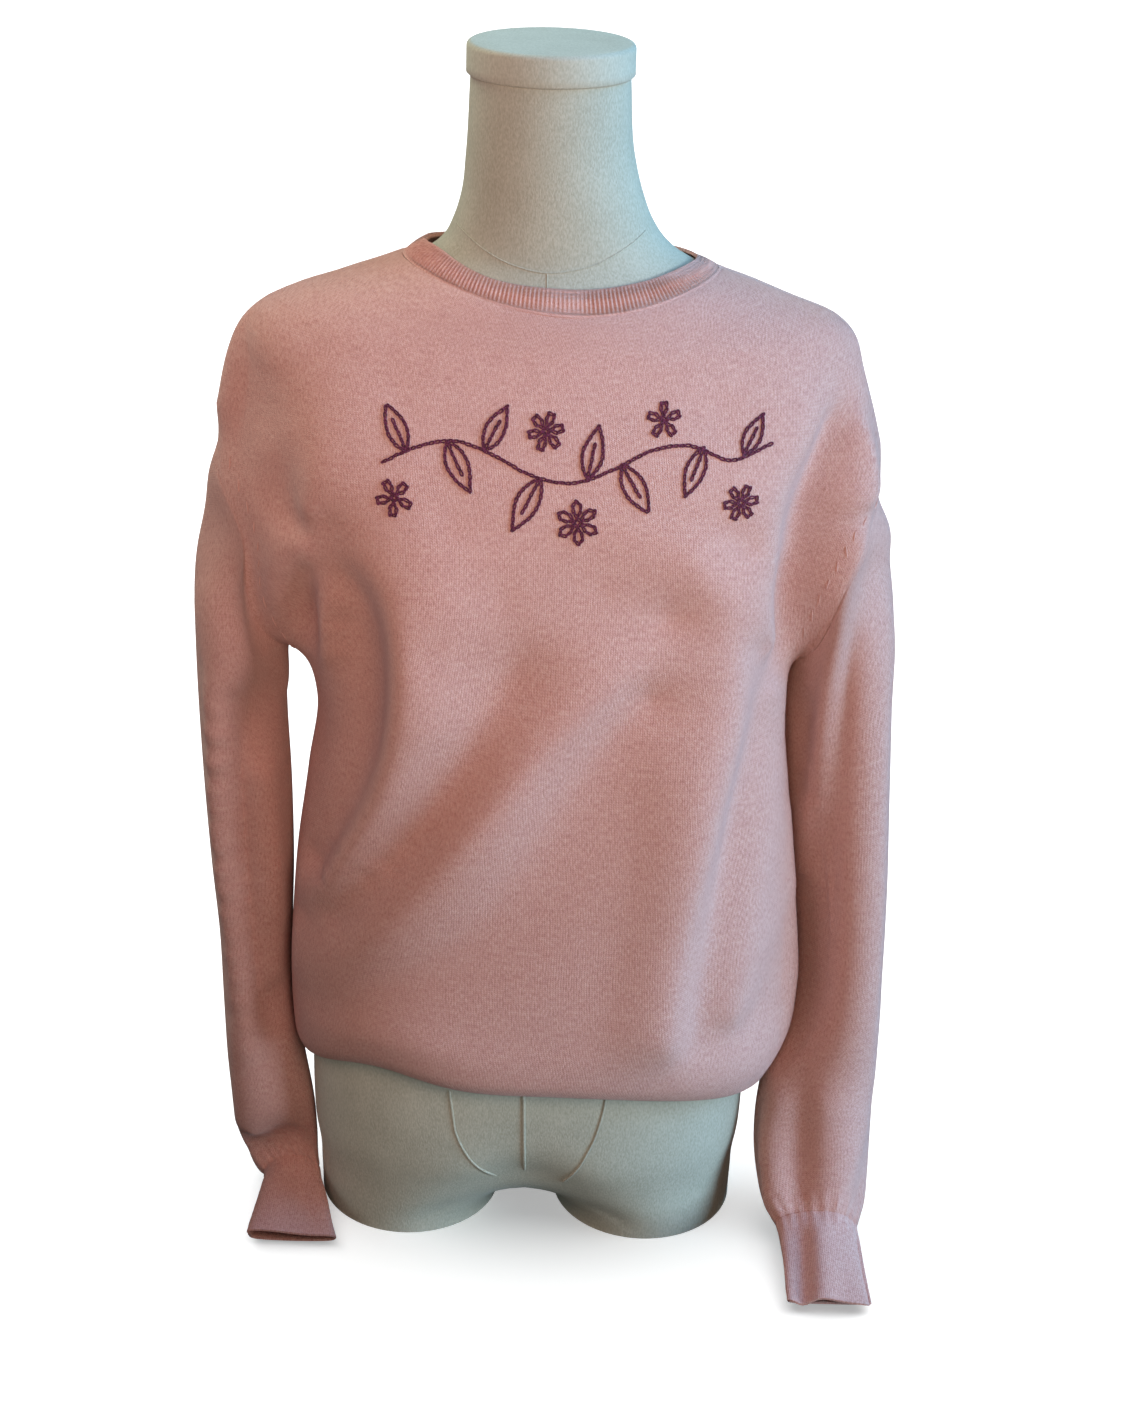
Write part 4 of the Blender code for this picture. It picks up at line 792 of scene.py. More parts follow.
def close_sides(front, back, seamed):
    """Bring the front's and back's edges together where they are sewn."""
    for _, _, f, b, *_ in SIDES:
        middle = (front[:, f] + back[:, b]) / 2
        for panel, edge in ((front, f), (back, b)):
            shift = (middle - panel[:, edge]) * seamed[:, None]
            near = np.exp(-(np.linalg.norm(panel - panel[:, edge][:, None], axis=-1) / 0.02)**2)
            panel += shift[:, None] * near[..., None]


def armhole(pieces, rows, f, b):
    """The armhole's edge from its top down the front and up the back."""
    return np.concatenate([pieces["front"][rows, f][::-1], pieces["back"][rows, b][1:-1]])


@functools.cache
def garment(strength):
    """Every knitted piece's face as a grid of points, meeting its neighbours at the seams."""
    # Plain panels, joined at the sides and over the shoulders.
    places = row_places()
    grids = {"front": body_half(-1, places, FRONT_COLUMNS), "back": body_half(1, places, BACK_COLUMNS)}
    for panel in grids.values():
        panel[places > TUCKED] = off_form(panel[places > TUCKED])
    seamed = (places <= UNDERARM) | (places >= ARMHOLE_TOP)
    close_sides(grids["front"], grids["back"], seamed)
    # Plain sleeves that start in the armholes' shape and run out into their own.
    first, last = int(np.argmin(abs(places - UNDERARM))), int(np.argmin(abs(places - ARMHOLE_TOP)))
    open_rows = slice(first, last + 1)
    turn = np.linspace(0.0, 2.0 * math.pi, 2 * ARMHOLE_ROWS, endpoint=False)
    along = np.linspace(0.0, 1.0, SLEEVE_ROWS + 1)**1.15
    across, down = ramp(along / EASE_ACROSS), ramp(along / EASE_DOWN)
    ease = np.stack([across, across, down], axis=-1)[:, None, :]
    near_rim = np.repeat(ramp((0.22 - along) / 0.14)[:, None], len(turn), axis=1)
    close_to_rim = np.repeat(np.exp(-(along / 0.065)**2)[:, None], len(turn), axis=1)
    masks, seam_masks, welds = {}, {}, []
    for _, _, f, b, *_ in SIDES:
        welds += [(("back", (r, b)), ("front", (r, f))) for r in np.flatnonzero(seamed)]
    for side, word, f, b, table, _, _ in SIDES:
        plain = tube_rows(table, along, turn, side)
        rim = armhole(grids, open_rows, f, b)
        grids["sleeve_" + word] = (rim[None] + plain - plain[:1]) * (1 - ease) + plain * ease
        masks["sleeve_" + word], seam_masks["sleeve_" + word] = near_rim, close_to_rim
        for k in range(2 * ARMHOLE_ROWS):
            at = ("front", (last - k, f)) if k <= ARMHOLE_ROWS else ("back", (first + k - ARMHOLE_ROWS, b))
            welds.append((("sleeve_" + word, (0, k)), at))
    # Even out the cloth round the armholes; the outline, seen from the front, stays as it is.
    for name in ("front", "back"):
        reach = np.abs(np.sin(np.linspace(-math.pi / 2, math.pi / 2, grids[name].shape[1])))
        height = ramp((places - 4.3) / 0.6) * ramp((9.6 - places) / 1.4)
        masks[name] = height[:, None] * ramp((reach - 0.35) / 0.35)[None, :]
    for name, grid in grids.items():
        facing = np.abs(grid_normals(grid, name.startswith("sleeve"))[..., 1])
        masks[name] = masks[name] * ramp((facing - 0.15) / 0.45)
    pieces = {name: tucked(grid) for name, grid in relaxed(grids, masks, welds, SMOOTHING).items()}
    # Press the folds in, then smooth the cloth a little across the seams.
    for name, side in (("front", -1), ("back", 1)):
        pieces[name] = fold_panel(pieces[name], places, side, strength)
    for side, word, f, b, _, folds, _ in SIDES:
        pieces["sleeve_" + word] = fold_tube(pieces["sleeve_" + word], armhole(pieces, open_rows, f, b), side,
                                             along, turn, folds, strength)
    for name in ("front", "back"):
        away = [np.linalg.norm(pieces[name] - pieces[name][:, edge][:, None], axis=-1) for edge in (0, -1)]
        height = ramp((places - UNDERARM + 0.4) / 0.4) * ramp((ARMHOLE_TOP + 0.4 - places) / 0.4)
        seam_masks[name] = np.exp(-(np.minimum(*away) / 0.028)**2) * height[:, None]
    pieces = {name: filled(grid)
              for name, grid in relaxed(pieces, seam_masks, welds, SEAM_SMOOTHING, square=False).items()}
    for side, word, _, _, _, _, cuff in SIDES:
        pieces["cuff_" + word] = cuff_grid(cuff, pieces["sleeve_" + word][-1], turn, side)
    front, back = pieces["front"], pieces["back"]
    pieces.update(open_rows=open_rows, neckline=np.concatenate([front[-1], back[-1][1:-1]]),
                  hemline=np.concatenate([front[0], back[0][1:-1]]))
    return pieces


def ribbed(loop, per_rib, pitch):
    """A closed loop resampled to evenly spaced points, and how many ribs of the pitch go round it."""
    count = round(np.linalg.norm(np.diff(loop, axis=0), axis=1).sum() / pitch)
    ring = np.concatenate([loop, loop[:1]])
    length = np.concatenate([[0.0], np.cumsum(np.linalg.norm(np.diff(ring, axis=0), axis=1))])
    at = np.linspace(0.0, length[-1], per_rib * count, endpoint=False)
    return np.stack([np.interp(at, length, ring[:, k]) for k in range(3)], axis=1), count


def ribs(count, columns, depth, sharp=1.6):
    """Relief of vertical ribs round a band: broad rounded ribs with narrow grooves."""
    wave = 0.5 + 0.5 * np.cos(2.0 * math.pi * count * np.arange(columns) / columns)
    return -depth * (1.0 - wave)**sharp


def cuff_grid(table, top, turn, side):
    """A rib cuff from the sleeve's last row to its own open rim."""
    along = np.linspace(0.0, 1.0, CUFF_ROWS + 1)
    grid = tube_rows(table, along, turn, side)
    grid += (top - grid[0])[None] * (1.0 - ramp(along / 0.25))[:, None, None]
    fine = CUFF_COLUMNS // len(turn)
    wide = np.concatenate([grid, grid[:, :1]], axis=1)
    at = np.arange(CUFF_COLUMNS) / fine
    low = at.astype(int)
    share = (at - low)[None, :, None]
    grid = wide[:, low] * (1 - share) + wide[:, low + 1] * share
    normals = grid_normals(grid, True, side)
    height = crease_field(grid[..., 0], grid[..., 1], CUFF_CREASES) * ramp((normals[..., 2] - 0.2) / 0.4)
    return grid + normals * (height * ramp(along / 0.3)[:, None])[..., None]


def neckband_grid(loop, rib_pitch):
    """The rib band stands on the neckline and leans in towards the neck."""
    loop, count = ribbed(loop, 6, rib_pitch)
    turn = np.arctan2(loop[:, 1] / NECKLINE_DEPTH, (loop[:, 0] - NECKLINE_X) / NECKLINE_HALF_WIDTH)
    band = read_table(NECKBAND, "turn", np.degrees(turn))
    outward = np.stack([np.cos(turn), np.sin(turn), np.zeros_like(turn)], axis=-1)
    upper = loop - outward * band["lean"][:, None]
    upper[:, 2] += band["rise"]
    t = np.linspace(0.0, 1.0, NECKBAND_ROWS + 1)
    grid = loop[None] * (1 - t)[:, None, None] + upper[None] * t[:, None, None]
    normals = grid_normals(grid, True)
    # Fuller in the middle, sunk at its seam and at its upper edge.
    swell = 0.0008 * np.sin(math.pi * t) - 0.0016 * np.exp(-(t / 0.08)**2) - 0.0010 * ramp((t - 0.93) / 0.07)
    fade = np.sin(math.pi * np.clip(t, 0.06, 0.94))**0.35
    relief = swell[:, None] + ribs(count, len(loop), 0.0015)[None, :] * fade[:, None]
    return off_form(grid + normals * relief[..., None])


def hem_band_grid(loop, rib_pitch):
    """The hem rib is turned up inside and grips the form's hips."""
    loop, count = ribbed(loop, 5, rib_pitch)
    t = np.linspace(0.0, 1.0, 13)[:, None, None]
    grid = loop[None] + t * np.array([0.0, 0.0, HEM_BAND_HEIGHT])
    for _ in range(8):
        distance, outward = form_distance(grid[1:])
        outward[..., 2] = 0.0
        grid[1:] += (HEM_BAND_GRIP - distance)[..., None] * outward
    return grid - grid_normals(grid, True) * ribs(count, len(loop), 0.0003)[None, :, None]


# ---------------------------------------------------------------- the dress form
def form_ring(height, angles):
    """One section of the form; the middle is drawn in where the thighs part."""
    row = {name: float(value) for name, value in read_table(FORM, "height", height).items()}
    cos, sin = np.cos(angles), np.sin(angles)
    power = 2.0 / row["square"]
    x = row["half_width"] * np.sign(cos) * np.abs(cos)**power
    y = np.where(sin < 0, row["front"], row["back"]) * np.sign(sin) * np.abs(sin)**power
    pinch = row["cleft"] * np.exp(-(x / CLEFT_REACH)**2)
    return np.stack([row["centre_x"] + x, y * (1 - pinch), np.full_like(x, height)], axis=-1)


def grid_quads(rows, columns, start=0):
    """Quads between the rows of a grid whose rows are closed rings."""
    return [(start + r * columns + c, start + r * columns + (c + 1) % columns,
             start + (r + 1) * columns + (c + 1) % columns, start + (r + 1) * columns + c)
            for r in range(rows - 1) for c in range(columns)]


def form_mesh():
    """Points and faces of the torso shell with its two flat-cut stumps."""
    half = FORM_COLUMNS // 2
    angles = np.linspace(0.0, 2.0 * math.pi, FORM_COLUMNS, endpoint=False) - math.pi / 2
    # Rings lie closer together at the thighs, the shoulders and the neck.
    heights = np.concatenate([np.arange(.040, .200, .004), np.arange(.200, .656, .012),
                              np.arange(.656, .820, .0034), [CAP_LOW[2] - CAP_GAP]])
    rings = [form_ring(h, angles) for h in heights]
    rings[0][:, 2] -= 0.0060 * np.exp(-(rings[0][:, 0] / 0.0400)**2)
    vertices = [tuple(p) for ring in rings for p in ring]
    faces = grid_quads(len(rings), FORM_COLUMNS)
    faces.append(tuple(len(vertices) - FORM_COLUMNS + c for c in range(FORM_COLUMNS)))
    back_middle, front_middle = rings[0][half], rings[0][0]
    t = np.linspace(0.0, 1.0, CROTCH_COLUMNS + 1)[1:-1]
    crotch_y = back_middle[1] + (front_middle[1] - back_middle[1]) * t
    crotch_z = CROTCH_HEIGHT + (front_middle[2] - CROTCH_HEIGHT) * (2 * t - 1)**2
    crotch = list(range(len(vertices), len(vertices) + CROTCH_COLUMNS - 1))
    vertices += [(0.0, y, z) for y, z in zip(crotch_y, crotch_z)]
    for side in (1, -1):
        loop = [(side * c) % FORM_COLUMNS for c in range(half + 1)] + crotch
        top = np.array([vertices[i] for i in loop])
        turn = math.pi * np.concatenate([np.linspace(-STUMP["arc"], STUMP["arc"], half + 1), np.linspace(
            STUMP["arc"], 2.0 - STUMP["arc"], CROTCH_COLUMNS + 1)[1:-1]])
        stump = np.stack([side * (STUMP["x"] + STUMP["half_width"] * np.cos(turn)),
                          STUMP["y"] + STUMP["half_depth"] * np.sin(turn), np.zeros_like(turn)], axis=-1)
        above = loop
        for step in range(1, STUMP_ROWS + 1):
            t = step / STUMP_ROWS
            inwards = math.sin(t * math.pi / 2)**0.8
            ring = top * (1 - inwards) + stump * inwards
            ring[:, 2] = top[:, 2] * (1 - t)
            below = list(range(len(vertices), len(vertices) + len(loop)))
            vertices += [tuple(p) for p in ring]
            faces += [(above[a], above[(a + 1) % len(loop)], below[(a + 1) % len(loop)], below[a])
                      for a in range(len(loop))]
            above = below
        faces.append(tuple(above))
    return rounded(np.array(vertices), faces, STUMP_CREASE_HEIGHT, STUMP_CREASE_REACH), faces


def rounded(points, faces, height, reach, rounds=60):
    """Smooth away the crease round a mesh at one height."""
    ends = np.array([pair for face in faces if len(face) == 4 for pair in zip(face, face[1:] + face[:1])])
    one, other = np.concatenate([ends, ends[:, ::-1]]).T
    size = len(points)
    count = np.maximum(np.bincount(one, minlength=size), 1)[:, None]
    share = 0.5 * np.exp(-((points[:, 2] - height) / reach)**2)[:, None] * (points[:, 2] > 0.001)[:, None]
    for _ in range(rounds):
        total = np.stack([np.bincount(one, points[other, k], minlength=size) for k in range(3)], axis=-1)
        points = points + (total / count - points) * share
    return points


def face_outwards(piece):
    """Turn every face of a closed piece outwards."""
    tidy = bmesh.new()
    tidy.from_mesh(piece.data)
    bmesh.ops.recalc_face_normals(tidy, faces=tidy.faces)
    tidy.to_mesh(piece.data)
    tidy.free()
    piece.data.set_sharp_from_angle(angle=math.radians(55.0))


def on_form_front(x, z, lift):
    """Points on the front of the form at the given places, with the surface's normals."""
    row = read_table(FORM, "height", z)
    across = np.clip(np.abs((x - row["centre_x"]) / row["half_width"]), 0.0, 0.999)
    y = -row["front"] * (1.0 - across**row["square"])**(1.0 / row["square"])
    y = y * (1.0 - row["cleft"] * np.exp(-(x / CLEFT_REACH)**2))
    points = np.stack([x, y, z], axis=-1)
    _, outward = form_distance(points)
    return points + outward * lift, outward


# ---------------------------------------------------------------- embroidery
def directions(turn):
    """The direction at an angle, and the one square to it on its left."""
    return np.array([math.cos(turn), math.sin(turn)]), np.array([-math.sin(turn), math.cos(turn)])


def leaf_lines(x, z, length, width, degrees):
    """The outline of a pointed leaf and its midrib, from its stalk end."""
    t = np.linspace(0.0, 1.0, 24)
    bow = width / 2 * np.sin(math.pi * t**0.85)
    ahead, side = directions(math.radians(degrees))
    start = np.array([x, z])
    up = start + np.outer(t * length, ahead) + np.outer(bow, side)
    down = start + np.outer(t[::-1] * length, ahead) - np.outer(bow[::-1], side)
    rib = start + np.outer(t[:16] * length, ahead)
    return [np.concatenate([up, down[1:]]), rib]


def daisy_lines(x, z, radius, petals, degrees):
    """A daisy of looped petals round a small ring."""
    lines, t = [], np.linspace(0.0, math.pi, 18)
    reach, bow = radius * (0.24 + 0.76 * np.sin(t)), radius * 0.34 * np.cos(t) * np.sin(t)**0.6
    for k in range(petals):
        ahead, side = directions(math.radians(degrees) + 2.0 * math.pi * k / petals)
        lines.append(np.array([x, z]) + np.outer(reach, ahead) - np.outer(bow, side))
    t = np.linspace(0.0, 2.0 * math.pi, 14)
    lines.append(np.array([x, z]) + 0.20 * radius * np.stack([np.cos(t), np.sin(t)], axis=-1))
    return lines


def stitched(lines, pitch):
    """Each line's even stitch ends."""
    runs = []
    for line in lines:
        length = np.concatenate([[0.0], np.cumsum(np.linalg.norm(np.diff(line, axis=0), axis=1))])
        count = max(2, round(length[-1] / pitch))
        at = np.linspace(0.0, length[-1], count + 1)
        runs.append(np.stack([np.interp(at, length, line[:, k]) for k in range(2)], axis=-1))
    return runs


# ---------------------------------------------------------------- materials
MM = 0.001      # a pattern's scale is given as so many per millimetre


def new_material(name):
    """An empty node material with its Principled shader wired to the output."""
    material = bpy.data.materials.new(name)
    material.use_nodes = True
    tree = material.node_tree
    tree.nodes.clear()
    shader = tree.nodes.new("ShaderNodeBsdfPrincipled")
    add_node(tree, "ShaderNodeOutputMaterial", {"Surface": shader.outputs["BSDF"]})
    return material, tree, shader


def weighted(tree, *shares):
    """The sum of patterns, each times its share."""
    total = 0.0
    for pattern, share in shares:
        links = {0: pattern, 1: share, 2: total}
        total = add_node(tree, "ShaderNodeMath", links, operation="MULTIPLY_ADD").outputs[0]
    return total


def finish_shader(tree, shader, tone, stops, constants, relief=None, depth=0.0, strength=1.0):
    """Colour a shader by its tone, raise its relief and set what is the same all over."""
    colours = add_node(tree, "ShaderNodeValToRGB", {"Fac": tone})
    elements = colours.color_ramp.elements
    elements[0].position, elements[1].position = stops[0][0], stops[-1][0]
    for position, _ in stops[1:-1]:
        elements.new(position)
    for element, (_, colour) in zip(elements, stops):
        element.color = linear(colour)
    tree.links.new(colours.outputs[0], shader.inputs["Base Color"])
    if relief is not None:
        bump = add_node(tree, "ShaderNodeBump", {"Height": relief, "Strength": strength, "Distance": depth})
        tree.links.new(bump.outputs[0], shader.inputs["Normal"])
    for socket, value in constants.items():
        shader.inputs[socket].default_value = value


def knit_relief(tree, wale, course, wander):
    """The stitch columns and rows of a knit, with the yarn's own wander, and their place in the cloth."""
    place = add_node(tree, "ShaderNodeUVMap", uv_map="fabric").outputs[0]
    # The yarn wanders over about 4 mm.
    drift = add_node(tree, "ShaderNodeTexNoise", {"Vector": place, "Scale": 0.26 / MM, "Detail": 2.0})
    apart = add_node(tree, "ShaderNodeSeparateXYZ", {0: place}).outputs
    across = weighted(tree, (apart[0], 1.0 / wale), (drift.outputs["Fac"], wander))
    arm = add_node(tree, "ShaderNodeMath", {0: across, 1: 0.5}, operation="PINGPONG").outputs[0]
    down = weighted(tree, (apart[1], 1.0 / course), (arm, 1.3))
    columns, rows = (add_node(tree, "ShaderNodeMath", {0: weighted(tree, (turns, 2.0 * math.pi))},
                              operation="SINE").outputs[0] for turns in (arm, down))
    return place, weighted(tree, (columns, 0.75), (rows, 0.22))


def wool_material(name, look, wale, course, depth, wander):
    """Knitted wool: a ramp of fibre colours, stitch relief and a brushed nap."""
    material, tree, shader = new_material(name)
    place, stitches = knit_relief(tree, wale, course, wander)
    drawn = add_node(tree, "ShaderNodeMapping", {"Vector": place, "Scale": (1.0, 0.45, 1.0)}).outputs[0]
    # Clumps of fibre 1.4 mm wide, drawn out along the wales; heather in patches
    # of 11 mm; tufts of nap 0.7 mm wide.
    fibres, heather, nap = (
        add_node(tree, "ShaderNodeTexNoise", {"Vector": vector, "Scale": count / MM, "Detail": detail,
                                              "Roughness": roughness}).outputs["Fac"]
        for vector, count, detail, roughness in ((drawn, 0.70, 3.0, 0.6), (place, 0.09, 3.0, 0.5),
                                                 (place, 1.50, 2.0, 0.5)))
    # The tone also follows the stitch relief: painted shade darkens the grooves between stitches and painted
    # light pales the raised loops.
    finish_shader(tree, shader, weighted(tree, (fibres, 0.80), (heather, 0.15), (stitches, 0.16)),
                  ((0.34, look.shade_fibre), (0.56, look.main_fibre), (0.80, look.pale_fibre)),
                  {"Roughness": 0.92, "Specular IOR Level": 0.18, "Sheen Weight": 0.45,
                   "Sheen Roughness": 0.45, "Sheen Tint": linear("#f3ddd8")},
                  weighted(tree, (stitches, 0.6), (nap, 0.5), (fibres, 0.5)), depth)
    return material


def brushed_jersey(look):
    # Cashmere and wool jersey, brushed after knitting: heathered fibres, a pale
    # nap that catches side light, and stitch columns just showing through it as
    # relief and as painted shade in their grooves.
    # The real wale is about 1.7 mm; it is drawn a little coarser so that it shows.
    return wool_material("cashmere_jersey_brushed", look, look.wale, look.wale * 0.75, 0.00045, wander=0.35)


def rib_knit(look):
    # The same yarn in 1x1 rib, steamed flat: a firmer, cleaner surface whose
    # ribs are modelled, with only the stitches inside each rib as relief and as
    # painted shade in their grooves.
    return wool_material("cashmere_rib_1x1", look, look.rib_pitch, look.rib_pitch * 0.8, 0.00030, wander=0.2)


def plum_yarn():
    # Mercerised wool embroidery yarn, plied: deep plum, a little smoother than
    # the ground.  Its ply turns are raised as relief and painted into the colour
    # as fine light and dark turns, painted highlight and painted shade.
    material, tree, shader = new_material("embroidery_yarn_plied_plum")
    place = add_node(tree, "ShaderNodeTexCoord").outputs["Object"]
    # One turn of the ply about every 1.1 mm.
    noise = add_node(tree, "ShaderNodeTexNoise", {"Vector": place, "Scale": 0.9 / MM, "Detail": 2.0})
    ply_relief_and_shade = noise.outputs["Fac"]
    # The ply turns are painted into the colour: painted highlight on their tops, painted shade between them.
    finish_shader(tree, shader, ply_relief_and_shade, ((0.35, "#421226"), (0.68, "#7c2f4b")),
                  {"Roughness": 0.7, "Specular IOR Level": 0.25, "Sheen Weight": 0.15,
                   "Sheen Roughness": 0.4}, ply_relief_and_shade, 0.0002, 0.8)
    return material


def form_cover(name, main, shade):
    # Cotton stretch jersey pulled tight over the moulded shell: a fine even
    # weave, matt, with a faint slub and slightly soiled tone.
    material, tree, shader = new_material(name)
    place = add_node(tree, "ShaderNodeTexCoord").outputs["Object"]
    stretch = add_node(tree, "ShaderNodeMapping", {"Vector": place, "Scale": (1.0, 1.0, 0.45)}).outputs[0]
    # Loops 1.1 mm wide, drawn a little coarser than they are; slubs 33 mm apart.
    weave, slub = (
        add_node(tree, "ShaderNodeTexNoise", {"Vector": vector, "Scale": count / MM,
                                              "Detail": detail}).outputs["Fac"]
        for vector, count, detail in ((stretch, 0.9, 2.0), (place, 0.03, 5.0)))
    finish_shader(tree, shader, weighted(tree, (weave, 0.7), (slub, 0.3)), ((0.36, shade), (0.64, main)),
                  {"Roughness": 0.88, "Specular IOR Level": 0.2, "Sheen Weight": 0.12}, weave, 0.00030, 0.7)
    return material


def white_board(look):
    # Painted board, matt white: its own faint glow keeps it white beside the
    # soft contact shadows, and it throws little light back up at the cloth.
    material, tree, shader = new_material("floor_board_painted_white")
    grain = add_node(tree, "ShaderNodeTexNoise", {"Scale": 4.0, "Detail": 3.0}).outputs["Fac"]
    finish_shader(tree, shader, grain, ((0.0, "#f2f1ef"), (1.0, "#ffffff")),
                  {"Roughness": 0.9, "Specular IOR Level": 0.0, "Emission Color": linear("#ffffff"),
                   "Emission Strength": look.floor_glow})
    seen = add_node(tree, "ShaderNodeLightPath").outputs["Is Camera Ray"]
    dim = add_node(tree, "ShaderNodeBsdfDiffuse", {"Color": linear("#5c5854")}).outputs[0]
    both = add_node(tree, "ShaderNodeMixShader", {0: seen, 1: dim, 2: shader.outputs[0]}).outputs[0]
    tree.links.new(both, tree.nodes["Material Output"].inputs["Surface"])
    return material


# ---------------------------------------------------------------- settings
class SWEATER_PG_cloth(bpy.types.PropertyGroup):
    """Sizes and colours of the knitted pieces."""
    wall: bpy.props.FloatProperty(
        name="Jersey Thickness", description="Thickness of the knitted jersey", default=0.0016, min=0.001,
        max=0.003, unit="LENGTH")
    rib_wall: bpy.props.FloatProperty(
        name="Rib Thickness", description="Thickness of the rib bands", default=0.0022, min=0.001, max=0.003,
        unit="LENGTH")
    rib_pitch: bpy.props.FloatProperty(
        name="Rib Pitch", description="Distance from one rib to the next", default=0.0029, min=0.002,
        max=0.006, unit="LENGTH")
    wale: bpy.props.FloatProperty(
        name="Wale Pitch", description="Distance from one column of stitches to the next", default=0.0022,
        min=0.001, max=0.006, unit="LENGTH")
    fold_strength: bpy.props.FloatProperty(
        name="Fold Strength", description="Share of the full depth of the folds", default=1.0, min=0.0,
        max=1.5, subtype="FACTOR")
    # The fibre colours also carry the painted shade in the stitch grooves and the painted light on the raised
    # loops.
    shade_fibre: bpy.props.StringProperty(
        name="Shade Fibre", description="Hex colour of the darkest fibres", default="#c0847a")
    main_fibre: bpy.props.StringProperty(
        name="Main Fibre", description="Hex colour of most of the fibres", default="#d8a196")
    pale_fibre: bpy.props.StringProperty(
        name="Pale Fibre", description="Hex colour of the palest fibres", default="#e7bdb3")


class SWEATER_PG_embroidery(bpy.types.PropertyGroup):
    """Sizes of the chain stitches."""
    pitch: bpy.props.FloatProperty(
        name="Stitch Length", description="Length of one chain stitch", default=0.0040, min=0.002, max=0.01,
        unit="LENGTH")
    width: bpy.props.FloatProperty(
        name="Stitch Width", description="Width of one chain stitch", default=0.0030, min=0.001, max=0.006,
        unit="LENGTH")
    yarn: bpy.props.FloatProperty(
        name="Yarn Radius", description="Radius of the embroidery yarn", default=0.00055, min=0.0002,
        max=0.001, unit="LENGTH")


class SWEATER_PG_studio(bpy.types.PropertyGroup):
    """Lights and floor."""
    day_strength: bpy.props.FloatProperty(
        name="Daylight", description="Strength of the low daylight at the right", default=3.8, min=0.0)
    window_strength: bpy.props.FloatProperty(
        name="Window", description="Strength of the cool window at the far right", default=3.2, min=0.0)
    lamp_power: bpy.props.FloatProperty(
        name="Lamps", description="Power shared by the five near lamps", default=10.0, min=0.0, unit="POWER")
    floor_strength: bpy.props.FloatProperty(
        name="Floor Light", description="Strength of the soft light on the floor", default=4.0, min=0.0)
    air_strength: bpy.props.FloatProperty(
        name="Air", description="Strength of the cool light from all round", default=0.07, min=0.0)
    floor_glow: bpy.props.FloatProperty(
        name="Floor Glow", description="Light that the white floor adds of its own", default=0.40, min=0.0,
        max=1.0, subtype="FACTOR")


# ---------------------------------------------------------------- pieces
class SWEATER_OT_camera(bpy.types.Operator):
    """Set the camera in front of the chest, looking a little down"""
    bl_idname = "sweater.camera"
    bl_label = "Camera"

    def execute(self, context):
        lens = bpy.data.cameras.new("studio_camera")
        lens.lens = 77.0328
        lens.sensor_width = 36.0
        lens.clip_end = 200.0
        camera = bpy.data.objects.new("studio_camera", lens)
        context.scene.collection.objects.link(camera)
        down, roll = math.radians(22.35), math.radians(1.5)
        forward = Vector((0.0, math.cos(down), -math.sin(down)))
        right = Vector((1.0, 0.0, 0.0))
        tilt = Matrix.Rotation(-roll, 3, forward)
        right, up = tilt @ right, tilt @ right.cross(forward)
        place = Vector((0.017, -1.9327, 1.182)) + Vector(AXIS)
        camera.matrix_world = Matrix.Translation(place) @ Matrix((right, up, -forward)).transposed().to_4x4()
        context.scene.camera = camera
        return {"FINISHED"}


class SWEATER_OT_form(bpy.types.Operator):
    """Build the dress form's covered shell, its neck cap and the seams of its cover"""
    bl_idname = "sweater.form"
    bl_label = "Dress Form"

    def execute(self, context):
        cover = form_cover("stretch_jersey_greige", "#bcb5a5", "#a7a090")
        vertices, faces = form_mesh()
        shell = mesh_object("form_cover", vertices + AXIS, faces)
        face_outwards(shell)
        finish_piece(shell, cover, "form_cover", "form_torso")
        low, high = CAP_LOW[2], CAP_HIGH[2]
        turn = np.linspace(0.0, math.pi / 2, 7)
        bevel = 0.0012
        profile = [(CAP_RADIUS - bevel, low), (CAP_RADIUS, low + bevel), (CAP_RADIUS, low + 0.006)]
        profile += [(CAP_RADIUS - CAP_EDGE + CAP_EDGE * math.cos(a), high - CAP_EDGE + CAP_EDGE * math.sin(a))
                    for a in turn]
        profile += [(0.040, high), (0.020, high)]
        ring = np.linspace(0.0, 2.0 * math.pi, CAP_COLUMNS, endpoint=False)
        points = np.array([(r * math.cos(a), r * math.sin(a), z) for r, z in profile for a in ring])
        faces = grid_quads(len(profile), CAP_COLUMNS)
        faces += [tuple(range(CAP_COLUMNS)), tuple(range(len(points) - CAP_COLUMNS, len(points)))]
        cap = mesh_object("form_cap_cover", points + AXIS, faces)
        face_outwards(cap)
        lid = form_cover("stretch_jersey_greige_cap", "#c2bbac", "#afa898")
        finish_piece(cap, lid, "form_cap", "form_neck_cap")
        for name, (line, radius) in FORM_SEAMS.items():
            run = through(line, 60)
            path, normal = on_form_front(run[:, 0], run[:, 1], radius * 0.25)
            seam = tube_object("form_seam_" + name, [(path, normal)], radius, sides=8)
            finish_piece(seam, cover, "form_cover")
        return {"FINISHED"}


class SWEATER_OT_body(bpy.types.Operator):
    """Build the sweater's front and back, with their folds"""
    bl_idname = "sweater.body"
    bl_label = "Front and Back"

    def execute(self, context):
        look = context.scene.sweater_cloth
        cloth = garment(look.fold_strength)
        jersey = brushed_jersey(look)
        for word in ("front", "back"):
            grid = seam_dip(cloth[word], False, 1, rows=(-1,))
            piece = cloth_object("knit_" + word, grid, look.wall, False, centre_column=grid.shape[1] // 2)
            finish_piece(piece, jersey, "wool", "sweater_" + word)
        return {"FINISHED"}


